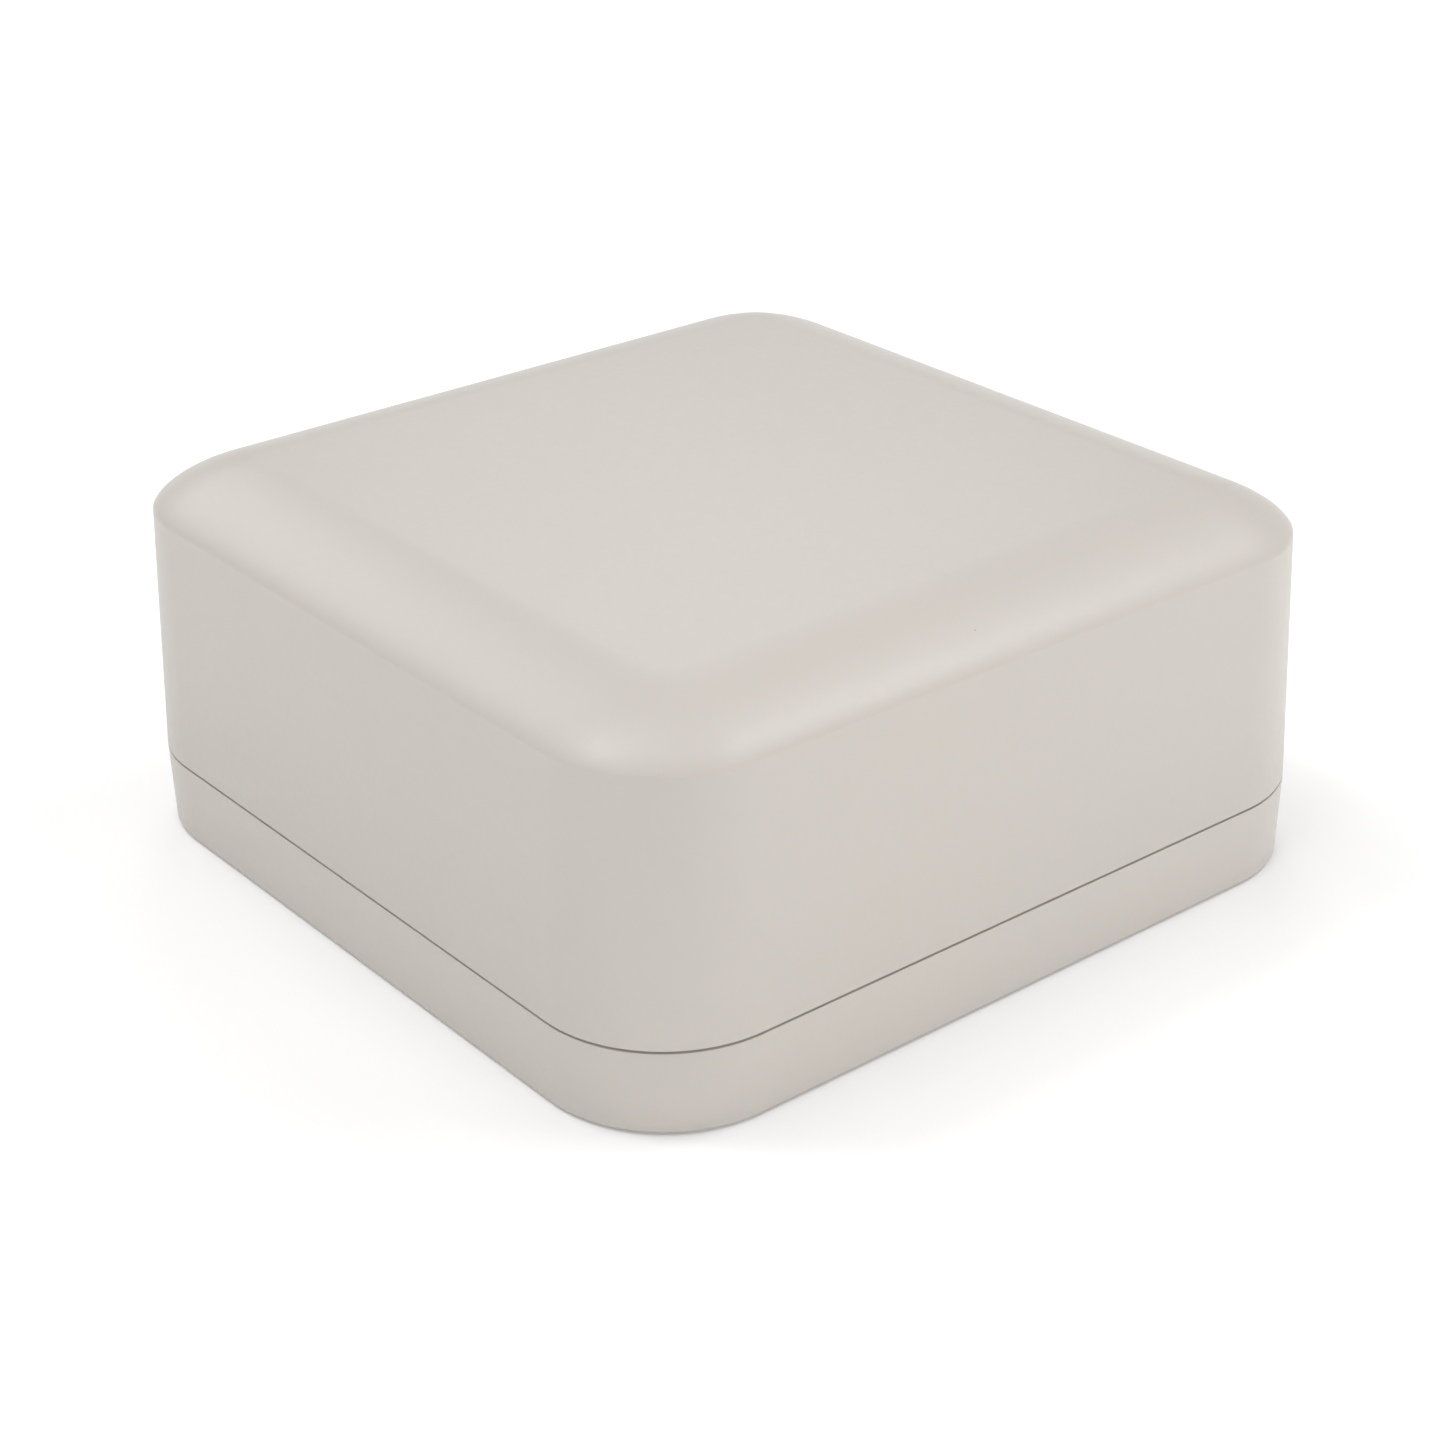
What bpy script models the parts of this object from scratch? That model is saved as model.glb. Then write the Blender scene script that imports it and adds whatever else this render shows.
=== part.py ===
"""Ceiling access point: a square plastic box in two shells on a twist-lock ceiling bracket.

Units are metres and +Z is up. The part stands on the ceiling face of its bracket, at z = 0,
with its cover up, so on a ceiling it hangs the other way round. +Y is the side where the
Ethernet jack lies. Pieces that touch on the real object keep the gap FIT between them.
"""

import math

import bmesh
import bpy
from mathutils import Matrix, Vector

# Outer form
WIDTH = 0.120               # square plan, at the seam between the shells
HEIGHT = 0.0526             # from the rim of the base to the top of the cover
BASE_HEIGHT = 0.0112        # from the rim of the base to the seam
CORNER_RADIUS = 0.0181      # plan corners, at the seam
COVER_DRAFT = 0.0333        # inset of the cover's side per height
BASE_DRAFT = 0.032          # inset of the base's side per depth
EDGE_INSET = 0.0145         # how far in the rounding of the top edge runs
EDGE_DROP = 0.0064          # how far down it runs
EDGE_POWER = 1.36           # its superellipse exponent, 2 being an ellipse

# Shells
WALL = 0.0024               # sides and top of both shells
FLOOR = 0.0024              # bottom of the base
SEAM_GAP = 0.0003           # the open line between the shells
LIP_THICKNESS = 0.0010      # tongue of the base, which stands inside the cover
LIP_HEIGHT = 0.0018
GASKET_HEIGHT = 0.0010
GASKET_WIDTH = 0.0007
FIT = 0.0003                # gap between pieces that touch
CEILING_GAP = 0.0004        # how far the rim of the base stays off the ceiling

# Screws that hold the cover, put in from below
BOSS_INSET = 0.0170         # boss centres, in from the sides at the seam
BASE_BOSS_RADIUS = 0.0042
COVER_BOSS_RADIUS = 0.0036
COVER_SCREW_RADIUS = 0.0014
COVER_SCREW_LENGTH = 0.0140
COVER_SCREW_HEAD_RADIUS = 0.0028
COVER_SCREW_HEAD_HEIGHT = 0.0020
COVER_SCREW_SEAT = 0.0046   # depth of the counterbore in the base
SCREW_CLEARANCE = 0.0003

# Cable pocket in the underside, and the jacks whose mouths open into it
POCKET_WIDTH = 0.040
POCKET_FRONT = -0.022
POCKET_BACK = 0.018
POCKET_WALL = 0.0016
JACK_WIDTH = 0.016
JACK_HEIGHT = 0.0135
JACK_DEPTH = 0.0213
JACK_X = -0.009
SOCKET_WIDTH = 0.0120
SOCKET_HEIGHT = 0.0094
SOCKET_DEPTH = 0.0145
SOCKET_SILL = 0.0009        # height of the socket's sill over the bottom of the jack
WINDOW_MARGIN = 0.0002      # the wall's window is this much larger than the socket
JACK_FLOOR_GAP = 0.0029     # room under the jack
POWER_JACK_WIDTH = 0.009
POWER_JACK_HEIGHT = 0.011
POWER_JACK_DEPTH = 0.014
POWER_JACK_X = 0.0075
POWER_BORE_RADIUS = 0.0032
POWER_BORE_DEPTH = 0.0095
POWER_PIN_RADIUS = 0.00105

# Reset button, pressed from inside the pocket with a pin
BUTTON_X = 0.0165
BUTTON_RADIUS = 0.0013
BUTTON_FLANGE_RADIUS = 0.0022
BUTTON_FLANGE = 0.0010
BUTTON_PROUD = 0.0006       # how far it stands into the pocket
BUTTON_TRAVEL = 0.0005
BUTTON_HANG = 0.0050        # its axis, under the board
SWITCH_SIZE = (0.0060, 0.0042, 0.0068)
SWITCH_STUB_RADIUS = 0.0009
SWITCH_STUB_LENGTH = 0.0005

# Ceiling bracket and its bayonet hooks
BRACKET_THICKNESS = 0.0012
BRACKET_HOLE_RADIUS = 0.026
BRACKET_RIM = 0.003         # from the middle of the hooks to the edge of the bracket
RECESS_MARGIN = 0.003       # room round the bracket
HOOK_MARGIN = 0.004         # from the corners of the pocket to the middle of the hooks
HOOK_THICKNESS = 0.0012
HOOK_WIDTH = 0.0041         # along the circle
HOOK_REACH = 0.0060         # how far the arm of a hook reaches over the base's floor
HOOK_SLACK = 0.0004         # play round a hook in its slot
HOOK_COUNT = 3
CEILING_SCREW_RADIUS = 0.00225
CEILING_SCREW_COUNT = 4

# Main board and what stands on it
BOARD_THICKNESS = 0.0016
BOARD_CLEARANCE = 0.0096    # from the cover's wall to the edge of the board
BOARD_GAP = 0.0017          # between the roof of the pocket and the board
BOSS_CLEARANCE = 0.0020     # between a cover boss and the cut corner of the board
POST_RADIUS = 0.0030
POST_INSET = (0.0060, 0.0200)
BOARD_SCREW_RADIUS = 0.0012
BOARD_SCREW_LENGTH = 0.0060
BOARD_SCREW_HEAD_RADIUS = 0.0026
BOARD_SCREW_HEAD_HEIGHT = 0.0017
CHIP_HEIGHT = 0.0012
CHIP_BEVEL = 0.00015
PROCESSOR_SIZE = 0.017
MEMORY_SIZE = (0.009, 0.013)
MEMORY_X = 0.012
MEMORY_INSET = 0.0165       # from the front edge of the board to the middle of the memory chips
FLASH_SIZE = (0.007, 0.006)
FLASH_X = 0.023
RADIO_CHIP_SIZE = 0.007
POE_CHIP_SIZE = 0.006
POE_CHIP_INSET = (0.020, 0.028)     # from the left and back edges of the board
PAD_THICKNESS = 0.0008
SHIELD_WIDTH = 0.012
SHIELD_LENGTH = 0.024
SHIELD_HEIGHT = 0.0030
SHIELD_SHEET = 0.0004
SHIELD_INSET = 0.009        # from the edge of the board to a shield
SINK_MARGIN = 0.003         # between the heat sink and the shields
SINK_FRONT_INSET = 0.022
SINK_BACK_INSET = 0.034
SINK_PLATE = 0.0025
SINK_HEIGHT = 0.0130
SINK_FINS = 8
SINK_FIN_THICKNESS = 0.0014
SINK_SHOULDER = 0.007       # bare strip at each side of the fins, for the push pins
PIN_RADIUS = 0.0011
PIN_HEAD_RADIUS = 0.0026
PIN_HEAD_HEIGHT = 0.0014
PIN_CORNER = (0.0035, 0.0040)
PIN_BELOW = 0.0010
PIN_PLAY = 0.0003
SPRING_RADIUS = 0.0019
SPRING_WIRE = 0.0004
SPRING_HEIGHT = 0.0040
SPRING_TURNS = 3

# Power supply behind the heat sink: size, X, and distance in from the back edge of the board
POE_TRANSFORMER = ((0.014, 0.014, 0.011), -0.014, 0.020)
LAN_TRANSFORMER = ((0.012, 0.007, 0.004), 0.003, 0.0275)
POWER_INDUCTOR = ((0.008, 0.008, 0.005), 0.019, 0.027)
MAGNETICS_BEVEL = 0.0006
CAPACITORS = ((0.0040, 0.012, 0.0, 0.016), (0.0040, 0.012, 0.0095, 0.016),
              (0.0032, 0.009, 0.0185, 0.017))       # radius, height, X, distance in

# Antennas, their cables and plugs
ANTENNA_WIDTH = 0.024
ANTENNA_THICKNESS = 0.0010
ANTENNA_INSET = 0.003       # from the edge of the board
ANTENNA_HEADROOM = 0.0035   # under the cover's ceiling
ANTENNA_SLOT = 0.0020
ANTENNA_SLOT_FOOT = 0.45    # where the slots end, as a share of the height
ANTENNA_FEED = 0.008        # how far the cable's end is from the antenna's middle
PLUG_INSET = 0.018          # from both edges of the board
PLUG_RADIUS = 0.0014
PLUG_HEIGHT = 0.0014
COAX_RADIUS = 0.00065
COAX_RISE = 0.0060          # how far a cable climbs its antenna

# Status light
LIGHT_INSET = 0.011         # from the front edge of the board
LIGHT_PIPE_RADIUS = 0.0020
LIGHT_SOCKET_WALL = 0.0014
LIGHT_SOCKET_DEPTH = 0.0060
LED_SIZE = (0.0032, 0.0028, 0.0012)

# Fineness of the faceted solids
CORNER_STEPS = 8
EDGE_STEPS = 6
ROUND_STEPS = 16
DISC_STEPS = 48
SMALL_STEPS = 12            # round pieces a few millimetres across
COIL_STEPS = 10             # points on a turn of a spring
BLOCK_STEP = math.radians(5)
SHARP_ANGLE = math.radians(35)

# Levels and places that follow from the sizes above
SEAM_Z = CEILING_GAP + BASE_HEIGHT
BASE_TOP_Z = SEAM_Z - SEAM_GAP / 2
COVER_BOTTOM_Z = SEAM_Z + SEAM_GAP / 2
TOP_Z = CEILING_GAP + HEIGHT
INNER_TOP_Z = TOP_Z - WALL
FLOOR_TOP_Z = CEILING_GAP + FLOOR
PLATE_Z = BRACKET_THICKNESS + FIT
PLATE_TOP_Z = PLATE_Z + FLOOR
BOARD_Z = PLATE_TOP_Z + JACK_FLOOR_GAP + JACK_HEIGHT + FIT
BOARD_TOP_Z = BOARD_Z + BOARD_THICKNESS
POCKET_TOP_Z = BOARD_Z - BOARD_GAP
POCKET_CEILING_Z = POCKET_TOP_Z - POCKET_WALL
UNDER_BOARD_Z = BOARD_Z - FIT
ON_BOARD_Z = BOARD_TOP_Z + FIT
JACK_Y = POCKET_BACK + POCKET_WALL + FIT
BOARD_HALF = WIDTH / 2 - WALL - BOARD_CLEARANCE
BOSS_XY = WIDTH / 2 - BOSS_INSET
POST_XY = (BOARD_HALF - POST_INSET[0], BOARD_HALF - POST_INSET[1])
POCKET_REACH = max(-POCKET_FRONT, POCKET_BACK) + POCKET_WALL
HOOK_RADIUS = math.hypot(POCKET_WIDTH / 2 + POCKET_WALL, POCKET_REACH) + HOOK_MARGIN
BRACKET_RADIUS = HOOK_RADIUS + BRACKET_RIM
RECESS_RADIUS = BRACKET_RADIUS + RECESS_MARGIN
CEILING_SCREW_CIRCLE = (BRACKET_HOLE_RADIUS + BRACKET_RADIUS) / 2
TWIST = (HOOK_REACH + 2 * HOOK_SLACK) / HOOK_RADIUS
SINK_Z = ON_BOARD_Z + CHIP_HEIGHT + FIT + PAD_THICKNESS + FIT
SINK_HALF = BOARD_HALF - SHIELD_INSET - SHIELD_WIDTH - SINK_MARGIN
SINK_FRONT = SINK_FRONT_INSET - BOARD_HALF
SINK_BACK = BOARD_HALF - SINK_BACK_INSET
SINK_MIDDLE = (SINK_FRONT + SINK_BACK) / 2
LIGHT_Y = LIGHT_INSET - BOARD_HALF
PIN_PLACES = ((SINK_HALF - PIN_CORNER[0], SINK_BACK - PIN_CORNER[1]),
              (PIN_CORNER[0] - SINK_HALF, SINK_FRONT + PIN_CORNER[1]))
CORNERS = ((1, 1), (-1, 1), (-1, -1), (1, -1))


# ---------------------------------------------------------------- finishes

def make_finish(name, colour, roughness, metallic=0.0):
    """A Principled BSDF material."""
    finish = bpy.data.materials.new(name)
    finish.use_nodes = True
    shader = finish.node_tree.nodes["Principled BSDF"]
    shader.inputs["Base Color"].default_value = (*colour, 1.0)
    shader.inputs["Roughness"].default_value = roughness
    shader.inputs["Metallic"].default_value = metallic
    finish.diffuse_color = (*colour, 1.0)
    return finish


def make_finishes():
    """Every finish of the part, by name."""
    table = {
        "shell": ((0.62, 0.59, 0.54), 0.50, 0.0),
        "rubber": ((0.03, 0.03, 0.03), 0.80, 0.0),
        "zinc": ((0.62, 0.63, 0.65), 0.40, 1.0),
        "screw": ((0.50, 0.50, 0.52), 0.35, 1.0),
        "board": ((0.02, 0.16, 0.07), 0.45, 0.0),
        "aluminium": ((0.78, 0.78, 0.80), 0.40, 1.0),
        "tinned": ((0.70, 0.71, 0.72), 0.30, 1.0),
        "chip": ((0.025, 0.025, 0.028), 0.55, 0.0),
        "pad": ((0.55, 0.63, 0.72), 0.80, 0.0),
        "black": ((0.02, 0.02, 0.02), 0.45, 0.0),
        "white": ((0.80, 0.80, 0.78), 0.45, 0.0),
        "ferrite": ((0.09, 0.09, 0.10), 0.60, 0.0),
        "sleeve": ((0.03, 0.05, 0.14), 0.35, 0.0),
        "clear": ((0.85, 0.88, 0.90), 0.12, 0.0),
        "antenna": ((0.05, 0.22, 0.10), 0.45, 0.0),
        "brass": ((0.80, 0.62, 0.28), 0.30, 1.0),
        "coax": ((0.06, 0.06, 0.06), 0.45, 0.0),
    }
    return {name: make_finish(name, *values) for name, values in table.items()}


# ---------------------------------------------------------------- mesh helpers

def add_rings(bm, rings, closed=False):
    """Skin rings of equal length. Capped at both ends, or joined last to first."""
    rows = [[bm.verts.new(point) for point in ring] for ring in rings]
    pairs = list(zip(rows, rows[1:]))
    if closed:
        pairs.append((rows[-1], rows[0]))
    for lower, upper in pairs:
        for i in range(len(lower)):
            j = (i + 1) % len(lower)
            bm.faces.new((lower[i], lower[j], upper[j], upper[i]))
    if not closed:
        bm.faces.new(rows[0])
        bm.faces.new(rows[-1])


def add_prism(bm, outline, low, high, place=None):
    """Extrude a flat outline of (x, y) points from z = low to z = high."""
    place = place or Matrix.Identity(4)
    rings = [[place @ Vector((x, y, z)) for x, y in outline] for z in (low, high)]
    add_rings(bm, rings)


def add_box(bm, low, high):
    """A box between two opposite corners."""
    outline = ((low[0], low[1]), (high[0], low[1]), (high[0], high[1]), (low[0], high[1]))
    add_prism(bm, outline, low[2], high[2])


def add_turned(bm, profile, centre=(0, 0, 0), axis="Z", steps=ROUND_STEPS, closed=False):
    """Spin (radius, height) points about an axis. Open profiles start and end on the axis."""
    place = Matrix.Translation(centre)
    if axis == "Y":
        place = place @ Matrix.Rotation(-math.pi / 2, 4, "X")
    rows = []
    for radius, height in profile:
        count = steps if radius > 0 else 1
        angles = [2 * math.pi * (i + 0.5) / steps for i in range(count)]
        rows.append([bm.verts.new(place @ Vector((radius * math.cos(a), radius * math.sin(a), height)))
                     for a in angles])
    pairs = list(zip(rows, rows[1:]))
    if closed:
        pairs.append((rows[-1], rows[0]))
    for lower, upper in pairs:
        for i in range(steps):
            j = (i + 1) % steps
            if len(lower) == 1:
                bm.faces.new((lower[0], upper[j], upper[i]))
            elif len(upper) == 1:
                bm.faces.new((lower[i], lower[j], upper[0]))
            else:
                bm.faces.new((lower[i], lower[j], upper[j], upper[i]))


def add_cylinder(bm, radius, low, high, centre=(0, 0), steps=ROUND_STEPS):
    """A solid cylinder along Z."""
    profile = ((0, low), (radius, low), (radius, high), (0, high))
    add_turned(bm, profile, (centre[0], centre[1], 0), steps=steps)


def add_arc_block(bm, inner, outer, start, end, low, high):
    """A block bent along a circle about Z, between two radii and two angles."""
    steps = max(2, math.ceil((end - start) / BLOCK_STEP))
    angles = [start + (end - start) * i / steps for i in range(steps + 1)]
    outline = [(outer * math.cos(a), outer * math.sin(a)) for a in angles]
    outline += [(inner * math.cos(a), inner * math.sin(a)) for a in reversed(angles)]
    add_prism(bm, outline, low, high)


def shell_ring(inset, z):
    """The plan outline of the shells, in by inset at every side, at height z."""
    half = WIDTH / 2 - inset
    radius = CORNER_RADIUS - inset
    middle = half - radius
    ring = []
    for quarter, (sx, sy) in enumerate(CORNERS):
        for step in range(CORNER_STEPS + 1):
            angle = (quarter + step / CORNER_STEPS) * math.pi / 2
            ring.append((sx * middle + radius * math.cos(angle), sy * middle + radius * math.sin(angle), z))
    return ring


def add_object(name, bm, finish=None, parent=None, origin=(0, 0, 0)):
    """Turn a mesh in world coordinates into an object whose origin is at the point given."""
    bmesh.ops.recalc_face_normals(bm, faces=bm.faces)
    bmesh.ops.translate(bm, verts=bm.verts, vec=-Vector(origin))
    mesh = bpy.data.meshes.new(name)
    bm.to_mesh(mesh)
    bm.free()
    mesh.shade_smooth()
    mesh.set_sharp_from_angle(angle=SHARP_ANGLE)
    if finish:
        mesh.materials.append(finish)
    obj = bpy.data.objects.new(name, mesh)
    obj.location = origin
    obj.parent = parent
    bpy.context.scene.collection.objects.link(obj)
    return obj


def combine(obj, name, bm, operation):
    """Add to an object's solid (UNION), or cut from it (DIFFERENCE), with a hidden tool."""
    tool = add_object(f"{obj.name}_{name}_tool", bm)
    tool.hide_render = True
    tool.display_type = "WIRE"
    modifier = obj.modifiers.new(name, "BOOLEAN")
    modifier.operation = operation
    modifier.solver = "EXACT"
    modifier.object = tool


def add_block(name, size, centre, bottom, finish, parent, bevel=CHIP_BEVEL):
    """A box with slightly bevelled edges that stands at a height over a point."""
    bm = bmesh.new()
    x, y = centre
    wide, deep, high = size
    add_box(bm, (x - wide / 2, y - deep / 2, bottom), (x + wide / 2, y + deep / 2, bottom + high))
    if bevel:
        bmesh.ops.bevel(bm, geom=bm.edges[:], offset=bevel, segments=1, affect="EDGES")
    return add_object(name, bm, finish, parent, (x, y, bottom))


def add_pivot(name, location, parent=None):
    """An empty on a joint's axis, which the moving pieces hang from."""
    pivot = bpy.data.objects.new(name, None)
    pivot.empty_display_size = 0.01
    pivot.location = location
    pivot.parent = parent
    bpy.context.scene.collection.objects.link(pivot)
    return pivot


def add_wire(name, points, radius, finish, parent, cyclic=False):
    """A round wire through the points, with closed ends."""
    curve = bpy.data.curves.new(name, "CURVE")
    curve.dimensions = "3D"
    curve.bevel_depth = radius
    curve.bevel_resolution = 2
    curve.resolution_u = 1
    curve.render_resolution_u = 0
    curve.use_fill_caps = True
    spline = curve.splines.new("POLY")
    spline.points.add(len(points) - 1)
    for slot, point in zip(spline.points, points):
        slot.co = (*point, 1.0)
    spline.use_cyclic_u = cyclic
    curve.materials.append(finish)
    obj = bpy.data.objects.new(name, curve)
    obj.parent = parent
    bpy.context.scene.collection.objects.link(obj)
    return obj


def smooth_route(points, spacing):
    """Even points along a smooth curve through the route's own points."""
    knots = [Vector(p) for p in points]
    knots = [2 * knots[0] - knots[1]] + knots + [2 * knots[-1] - knots[-2]]
    route = []
    for before, start, end, after in zip(knots, knots[1:], knots[2:], knots[3:]):
        steps = max(1, round((end - start).length / spacing))
        for i in range(steps):
            t = i / steps
            bend = (2 * before - 5 * start + 4 * end - after) * t * t
            twist = (3 * start - before - 3 * end + after) * t * t * t
            route.append((2 * start + (end - before) * t + bend + twist) / 2)
    route.append(knots[-2])
    return route


# ---------------------------------------------------------------- shells

def edge_curve(inset, drop, base_inset, low):
    """Insets and heights along the rounding of the top edge, from the side to the top."""
    power = 2 / EDGE_POWER
    points = []
    for step in range(EDGE_STEPS + 1):
        angle = step / EDGE_STEPS * math.pi / 2
        across = max(0.0, math.cos(angle)) ** power
        points.append((base_inset + inset * (1 - across), low + drop * math.sin(angle) ** power))
    return points


def make_cover(finish, parent):
    """The tall upper shell, with screw bosses and the socket of the light pipe inside."""
    side_top = TOP_Z - EDGE_DROP
    draft = (side_top - COVER_BOTTOM_Z) * COVER_DRAFT
    rebate_inset = WALL - LIP_THICKNESS - FIT
    rebate_top = BASE_TOP_Z + LIP_HEIGHT + 2 * FIT + GASKET_HEIGHT
    rebate_draft = (rebate_top - COVER_BOTTOM_Z) * COVER_DRAFT
    inside = edge_curve(EDGE_INSET - WALL, EDGE_DROP - WALL, WALL + draft, side_top)
    profile = list(reversed(inside))
    profile += [(WALL + rebate_draft, rebate_top), (rebate_inset, rebate_top)]
    profile += [(rebate_inset, COVER_BOTTOM_Z), (0.0, COVER_BOTTOM_Z)]
    profile += edge_curve(EDGE_INSET, EDGE_DROP, draft, side_top)
    bm = bmesh.new()
    add_rings(bm, [shell_ring(inset, z) for inset, z in profile])
    cover = add_object("cover", bm, finish, parent)

    bm = bmesh.new()
    rooted_z = INNER_TOP_Z + WALL / 3
    for sx, sy in CORNERS:
        add_cylinder(bm, COVER_BOSS_RADIUS, COVER_BOTTOM_Z, rooted_z, (sx * BOSS_XY, sy * BOSS_XY))
    socket_radius = LIGHT_PIPE_RADIUS + FIT + LIGHT_SOCKET_WALL
    add_cylinder(bm, socket_radius, INNER_TOP_Z - LIGHT_SOCKET_DEPTH, rooted_z, (0, LIGHT_Y))
    combine(cover, "bosses", bm, "UNION")

    bm = bmesh.new()
    hole_radius = COVER_SCREW_RADIUS + SCREW_CLEARANCE
    hole_top = CEILING_GAP + COVER_SCREW_SEAT + COVER_SCREW_LENGTH + 2 * FIT
    for sx, sy in CORNERS:
        add_cylinder(bm, hole_radius, COVER_BOTTOM_Z - WALL, hole_top, (sx * BOSS_XY, sy * BOSS_XY))
    bore_low = INNER_TOP_Z - 2 * LIGHT_SOCKET_DEPTH
    add_cylinder(bm, LIGHT_PIPE_RADIUS + FIT, bore_low, INNER_TOP_Z, (0, LIGHT_Y))
    combine(cover, "holes", bm, "DIFFERENCE")


def make_base(finish, parent):
    """The shallow lower shell: tongue, bracket recess, cable pocket, posts and bosses."""
    lip_top = BASE_TOP_Z + LIP_HEIGHT
    profile = ((WALL, FLOOR_TOP_Z), (WALL, lip_top), (WALL - LIP_THICKNESS, lip_top),
               (WALL - LIP_THICKNESS, BASE_TOP_Z), (0.0, BASE_TOP_Z),
               (BASE_DRAFT * BASE_HEIGHT, CEILING_GAP))
    bm = bmesh.new()
    add_rings(bm, [shell_ring(inset, z) for inset, z in profile])
    base = add_object("base", bm, finish, parent)

    rooted_z = (PLATE_Z + FLOOR_TOP_Z) / 2
    bm = bmesh.new()
    add_cylinder(bm, RECESS_RADIUS + FLOOR, rooted_z, PLATE_TOP_Z, steps=DISC_STEPS)
    combine(base, "plate", bm, "UNION")

    half = POCKET_WIDTH / 2
    bm = bmesh.new()
    add_box(bm, (-half - POCKET_WALL, POCKET_FRONT - POCKET_WALL, rooted_z + FIT),
            (half + POCKET_WALL, POCKET_BACK + POCKET_WALL, POCKET_TOP_Z))
    combine(base, "pocket_walls", bm, "UNION")

    bm = bmesh.new()
    for sx, sy in CORNERS:
        add_cylinder(bm, BASE_BOSS_RADIUS, rooted_z, BASE_TOP_Z, (sx * BOSS_XY, sy * BOSS_XY))
        add_cylinder(bm, POST_RADIUS, rooted_z, UNDER_BOARD_Z, (sx * POST_XY[0], sy * POST_XY[1]))
    combine(base, "posts", bm, "UNION")

    bm = bmesh.new()
    add_cylinder(bm, RECESS_RADIUS, CEILING_GAP - FLOOR, PLATE_Z, steps=DISC_STEPS)
    combine(base, "recess", bm, "DIFFERENCE")

    bm = bmesh.new()
    add_box(bm, (-half, POCKET_FRONT, -FLOOR), (half, POCKET_BACK, POCKET_CEILING_Z))
    combine(base, "pocket", bm, "DIFFERENCE")

    combine(base, "holes", base_holes(), "DIFFERENCE")


def base_holes():
    """Screw holes, bayonet slots, and the windows in the wall of the pocket."""
    bm = bmesh.new()
    seat_z = CEILING_GAP + COVER_SCREW_SEAT
    hole = COVER_SCREW_RADIUS + SCREW_CLEARANCE
    bore = COVER_SCREW_HEAD_RADIUS + SCREW_CLEARANCE
    stepped = ((0, -FLOOR), (bore, -FLOOR), (bore, seat_z), (hole, seat_z), (hole, BASE_TOP_Z + FLOOR),
               (0, BASE_TOP_Z + FLOOR))
    post_hole = BOARD_SCREW_RADIUS + SCREW_CLEARANCE
    post_bottom = BOARD_Z - BOARD_SCREW_LENGTH - 2 * FIT
    for sx, sy in CORNERS:
        add_turned(bm, stepped, (sx * BOSS_XY, sy * BOSS_XY, 0))
        add_cylinder(bm, post_hole, post_bottom, BOARD_TOP_Z, (sx * POST_XY[0], sy * POST_XY[1]))

    half_hook = HOOK_WIDTH / 2 / HOOK_RADIUS
    slack = HOOK_SLACK / HOOK_RADIUS
    reach = HOOK_THICKNESS / 2 + HOOK_SLACK
    for index in range(HOOK_COUNT):
        middle = 2 * math.pi * index / HOOK_COUNT
        add_arc_block(bm, HOOK_RADIUS - reach, HOOK_RADIUS + reach, middle - half_hook - slack - TWIST,
                      middle + half_hook + slack, PLATE_Z - FLOOR, PLATE_TOP_Z + FLOOR)

    wall_low = POCKET_BACK - POCKET_WALL
    wall_high = POCKET_BACK + 2 * POCKET_WALL
    window = SOCKET_WIDTH / 2 + WINDOW_MARGIN
    sill = UNDER_BOARD_Z - JACK_HEIGHT + SOCKET_SILL
    add_box(bm, (JACK_X - window, wall_low, sill - WINDOW_MARGIN),
            (JACK_X + window, wall_high, sill + SOCKET_HEIGHT + WINDOW_MARGIN))
    along = ((0, wall_low), (1, wall_low), (1, wall_high), (0, wall_high))
    power_hole = POWER_BORE_RADIUS + WINDOW_MARGIN
    add_turned(bm, [(r * power_hole, y) for r, y in along],
               (POWER_JACK_X, 0, UNDER_BOARD_Z - POWER_JACK_HEIGHT / 2), "Y")
    button_hole = BUTTON_RADIUS + SCREW_CLEARANCE
    add_turned(bm, [(r * button_hole, y) for r, y in along], (BUTTON_X, 0, BOARD_Z - BUTTON_HANG), "Y")
    return bm


def make_gasket(finish, parent):
    """The seal that lies on the base's tongue, all the way round."""
    low = BASE_TOP_Z + LIP_HEIGHT + FIT
    inner = WALL - (LIP_THICKNESS - GASKET_WIDTH) / 2
    outer = inner - GASKET_WIDTH
    profile = ((inner, low), (outer, low), (outer, low + GASKET_HEIGHT), (inner, low + GASKET_HEIGHT))
    bm = bmesh.new()
    add_rings(bm, [shell_ring(inset, z) for inset, z in profile], closed=True)
    add_object("seal_gasket", bm, finish, parent)


def make_screw(name, place, under_head, direction, sizes, finish, parent):
    """A pan head screw along Z: its shank points along direction from under the head."""
    radius, length, head_radius, head_height = sizes
    socket_radius = head_radius / 2
    crown = head_radius - head_height / 3
    profile = ((0, -head_height / 2), (socket_radius, -head_height / 2), (socket_radius, -head_height),
               (crown, -head_height), (head_radius, -head_height * 2 / 3), (head_radius, 0),
               (radius, 0), (radius, length - radius), (radius / 2, length), (0, length))
    bm = bmesh.new()
    add_turned(bm, [(r, direction * z) for r, z in profile], (*place, under_head), steps=SMALL_STEPS)
    add_object(name, bm, finish, parent, (*place, under_head))


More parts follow.
